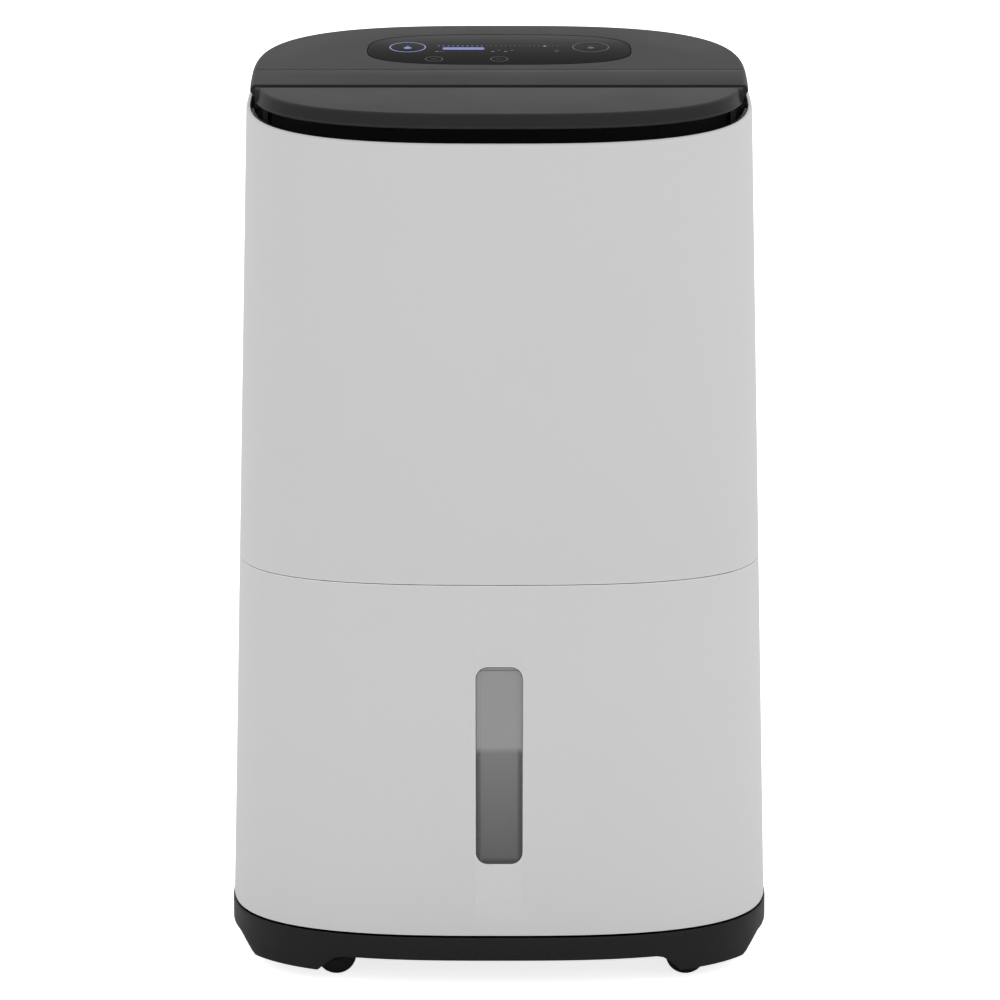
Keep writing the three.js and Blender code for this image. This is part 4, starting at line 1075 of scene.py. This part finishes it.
# ---------- Rear ----------
def make_intake_grille():
    """A curved plate with rows of narrow slots, wrapped on the rear wall."""
    low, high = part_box("intake_grille")
    slot, web, rows, margin, rib = 3.6 * MM, 2.8 * MM, 5, 9 * MM, 5 * MM
    columns = int((high.x - low.x - 2 * margin) // (slot + web))
    across = [low.x, -columns * (slot + web) / 2 + web / 2]
    for _ in range(columns - 1):
        across += [across[-1] + slot, across[-1] + slot + web]
    across += [across[-1] + slot, high.x]
    tall = (high.z - low.z - 2 * margin - (rows - 1) * rib) / rows
    up = [low.z, low.z + margin]
    for _ in range(rows - 1):
        up += [up[-1] + tall, up[-1] + tall + rib]
    up += [up[-1] + tall, high.z]
    deselect()
    bpy.ops.mesh.primitive_grid_add(x_subdivisions=len(across) - 1, y_subdivisions=len(up) - 1, size=1)
    piece = named("intake_grille_face")
    for vert in piece.data.vertices:
        x = across[round((vert.co.x + 0.5) * (len(across) - 1))]
        z = up[round((vert.co.y + 0.5) * (len(up) - 1))]
        vert.co = (x, side_wall(x, z), z)
    edit(piece)

    def slot_face(face):
        middle = face.calc_center_median()
        column = sum(1 for edge in across if edge < middle.x)
        row = sum(1 for edge in up if edge < middle.z)
        return column % 2 == 0 and row % 2 == 0 and column < len(across) and row < len(up)
    pick("faces", slot_face)
    bpy.ops.mesh.delete(type="FACE")
    face_out()
    if sum(polygon.normal.y for polygon in piece.data.polygons) < 0:
        piece.data.flip_normals()
    thick = piece.modifiers.new("thick", "SOLIDIFY")
    thick.thickness = 2.2 * MM
    thick.offset = -1
    apply(piece, thick)
    finish(soften(piece, 0.4 * MM, 2), "white_plastic", "intake", "intake_grille")


# Profiles turned about axes that point out of the rear wall: (radius, height over the seat).
GLAND = [(4.2, -8), (7, -8), (7, 0), (10.4, 0), (11, 0.5), (11, 2.1), (10.4, 2.6), (8.6, 2.9), (6.9, 5),
         (6.3, 7), (4.6, 7), (4.2, 6.6)]
SPIGOT = [(5, -16), (8, -16), (8, 0), (10.5, 0), (11, 0.5), (11, 1.5), (10.5, 2), (5.5, 2), (5, 1.5)]
CAP = [(0, -12), (3.8, -12), (4.6, -11.2), (4.6, 0), (9.1, 0), (9.5, 0.4), (9.5, 2), (8.8, 2.8), (8, 3),
       (6.4, 3), (6, 2.5), (0, 2.5)]
SCREW = [(0, -9), (1.2, -9), (1.6, -8.4), (1.6, 0), (3.5, 0), (3.6, 0.3), (3.5, 1.2), (2.9, 1.9),
         (1.8, 2.2), (0, 2.2)]


def rear_piece(name, node, depth, profile, hollow=False, points=64):
    """A turned piece on the rear wall, and the place of its seat."""
    low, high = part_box(node)
    middle = (low + high) / 2
    seat = (middle.x, low.y + depth * MM, middle.z)
    return turned(name, profile, seat, "Y", hollow, points), seat


def make_rear_fittings():
    gland, _ = rear_piece("cord_gland_boot", "cord_gland", 8, GLAND, True)
    finish(soften(gland, 0), "black_plastic", "chassis", "cord_gland", look="seal_rubber")
    spigot, _ = rear_piece("drain_spigot_ring", "drain_spigot", 16, SPIGOT, True)
    finish(soften(spigot, 0), "inner_plastic", "chassis", "drain_spigot")
    cap, (x, y, z) = rear_piece("drain_cap_plug", "drain_cap", 12, CAP)
    weld(cap, rounded_block("grip", (x - 5.6 * MM, y + 1 * MM, z - 1.1 * MM),
                            (x + 5.6 * MM, y + 3 * MM, z + 1.1 * MM), 1, 1 * MM, 4))
    finish(soften(cap, 0), "seal_rubber", "drain_plug", "drain_cap")


def make_screws():
    for number in range(1, 5):
        node = f"casing_screw_{number}"
        head, (x, y, z) = rear_piece(node + "_head", node, 9, SCREW, points=40)
        for turn in (0, math.pi / 2):
            slot = block("slot", (-2 * MM, 0, -0.35 * MM), (2 * MM, 3 * MM, 0.35 * MM))
            slot.data.transform(Matrix.Translation((x, y + 1 * MM, z)) @ Matrix.Rotation(turn, 4, "Y"))
            carve(head, slot)
        finish(soften(head, 0), "steel", "chassis", node)


# ---------- Pieces inside that keep their own shape ----------
def dress_inner_pieces():
    slot_of = {part["node"]: part["material_slot"] for part in frame["record"]["subparts"]}
    for name, node in frame["nodes"].items():
        node.data.materials.clear()
        node.data.materials.append(FINISH[slot_of[name]])


# ---------- Camera, floor and light ----------
def make_camera():
    bpy.ops.object.camera_add(location=(0, -2.700, 0.8205), rotation=(math.radians(90 - 11.286), 0, 0))
    camera = bpy.context.object
    camera.data.lens = 157.65
    camera.data.sensor_width = 36
    camera.data.shift_x = 0.0008
    camera.data.clip_end = 100
    bpy.context.scene.camera = camera


def make_floor():
    deselect()
    bpy.ops.mesh.primitive_plane_add(size=60)
    floor = bpy.context.object
    floor.name = "studio_floor"
    material, wire, shader = surface("studio_floor_paint", {"Roughness": 0.9, "Specular IOR Level": 0.0})
    paper = wire.blend(wire.noise(wire.place(), 2.0, 4.0), grey(251), grey(255))
    wire.link(paper, shader.inputs["Base Color"])
    wire.link(paper, shader.inputs["Emission Color"])
    seen = wire.node("ShaderNodeLightPath").outputs["Is Camera Ray"]
    wire.link(wire.maths("MULTIPLY", seen, 0.8), shader.inputs["Emission Strength"])
    floor.data.materials.append(material)


def area_light(name, place, target, size, power):
    bpy.ops.object.light_add(type="AREA", location=place)
    light = bpy.context.object
    light.name = name
    light.data.shape = "DISK"
    light.data.size = size
    light.data.energy = power
    light.rotation_euler = (Vector(target) - Vector(place)).to_track_quat("-Z", "Y").to_euler()


def make_light():
    world = bpy.data.worlds.new("studio")
    world.use_nodes = True
    world.node_tree.nodes.clear()
    wire = Wiring(world.node_tree)
    across = wire.part(wire.node("ShaderNodeTexCoord").outputs["Generated"], "X")
    lit = wire.spread(across, -1.0, 1.0, 0.89, 1.0)
    seen = wire.node("ShaderNodeLightPath").outputs["Is Camera Ray"]
    sky = wire.node("ShaderNodeBackground", {"Strength": wire.maths("MAXIMUM", lit, seen)})
    sky.inputs["Color"].default_value = (1, 1, 1, 1)
    wire.node("ShaderNodeOutputWorld", {"Surface": sky.outputs[0]})
    bpy.context.scene.world = world
    area_light("right_softbox", (2.6, -2.2, 1.6), (0, 0, 0.3), 1.6, 2)
    bpy.context.scene.view_settings.view_transform = "Standard"
    bpy.context.scene.view_settings.look = "None"


make_camera()
make_floor()
make_light()
dress_inner_pieces()
make_front_casing()
make_rear_casing()
make_tank_cover()
make_tank_window()
make_tank_bucket()
make_tank_lid()
make_tank_strap()
make_tank_float()
make_base_tray()
make_castors()
make_outlet_bezel()
make_outlet_duct()
make_outlet_vanes()
make_outlet_flap()
make_top_cover()
make_control_panel()
make_carry_handle()
make_panel_marks()
make_intake_grille()
make_rear_fittings()
make_screws()
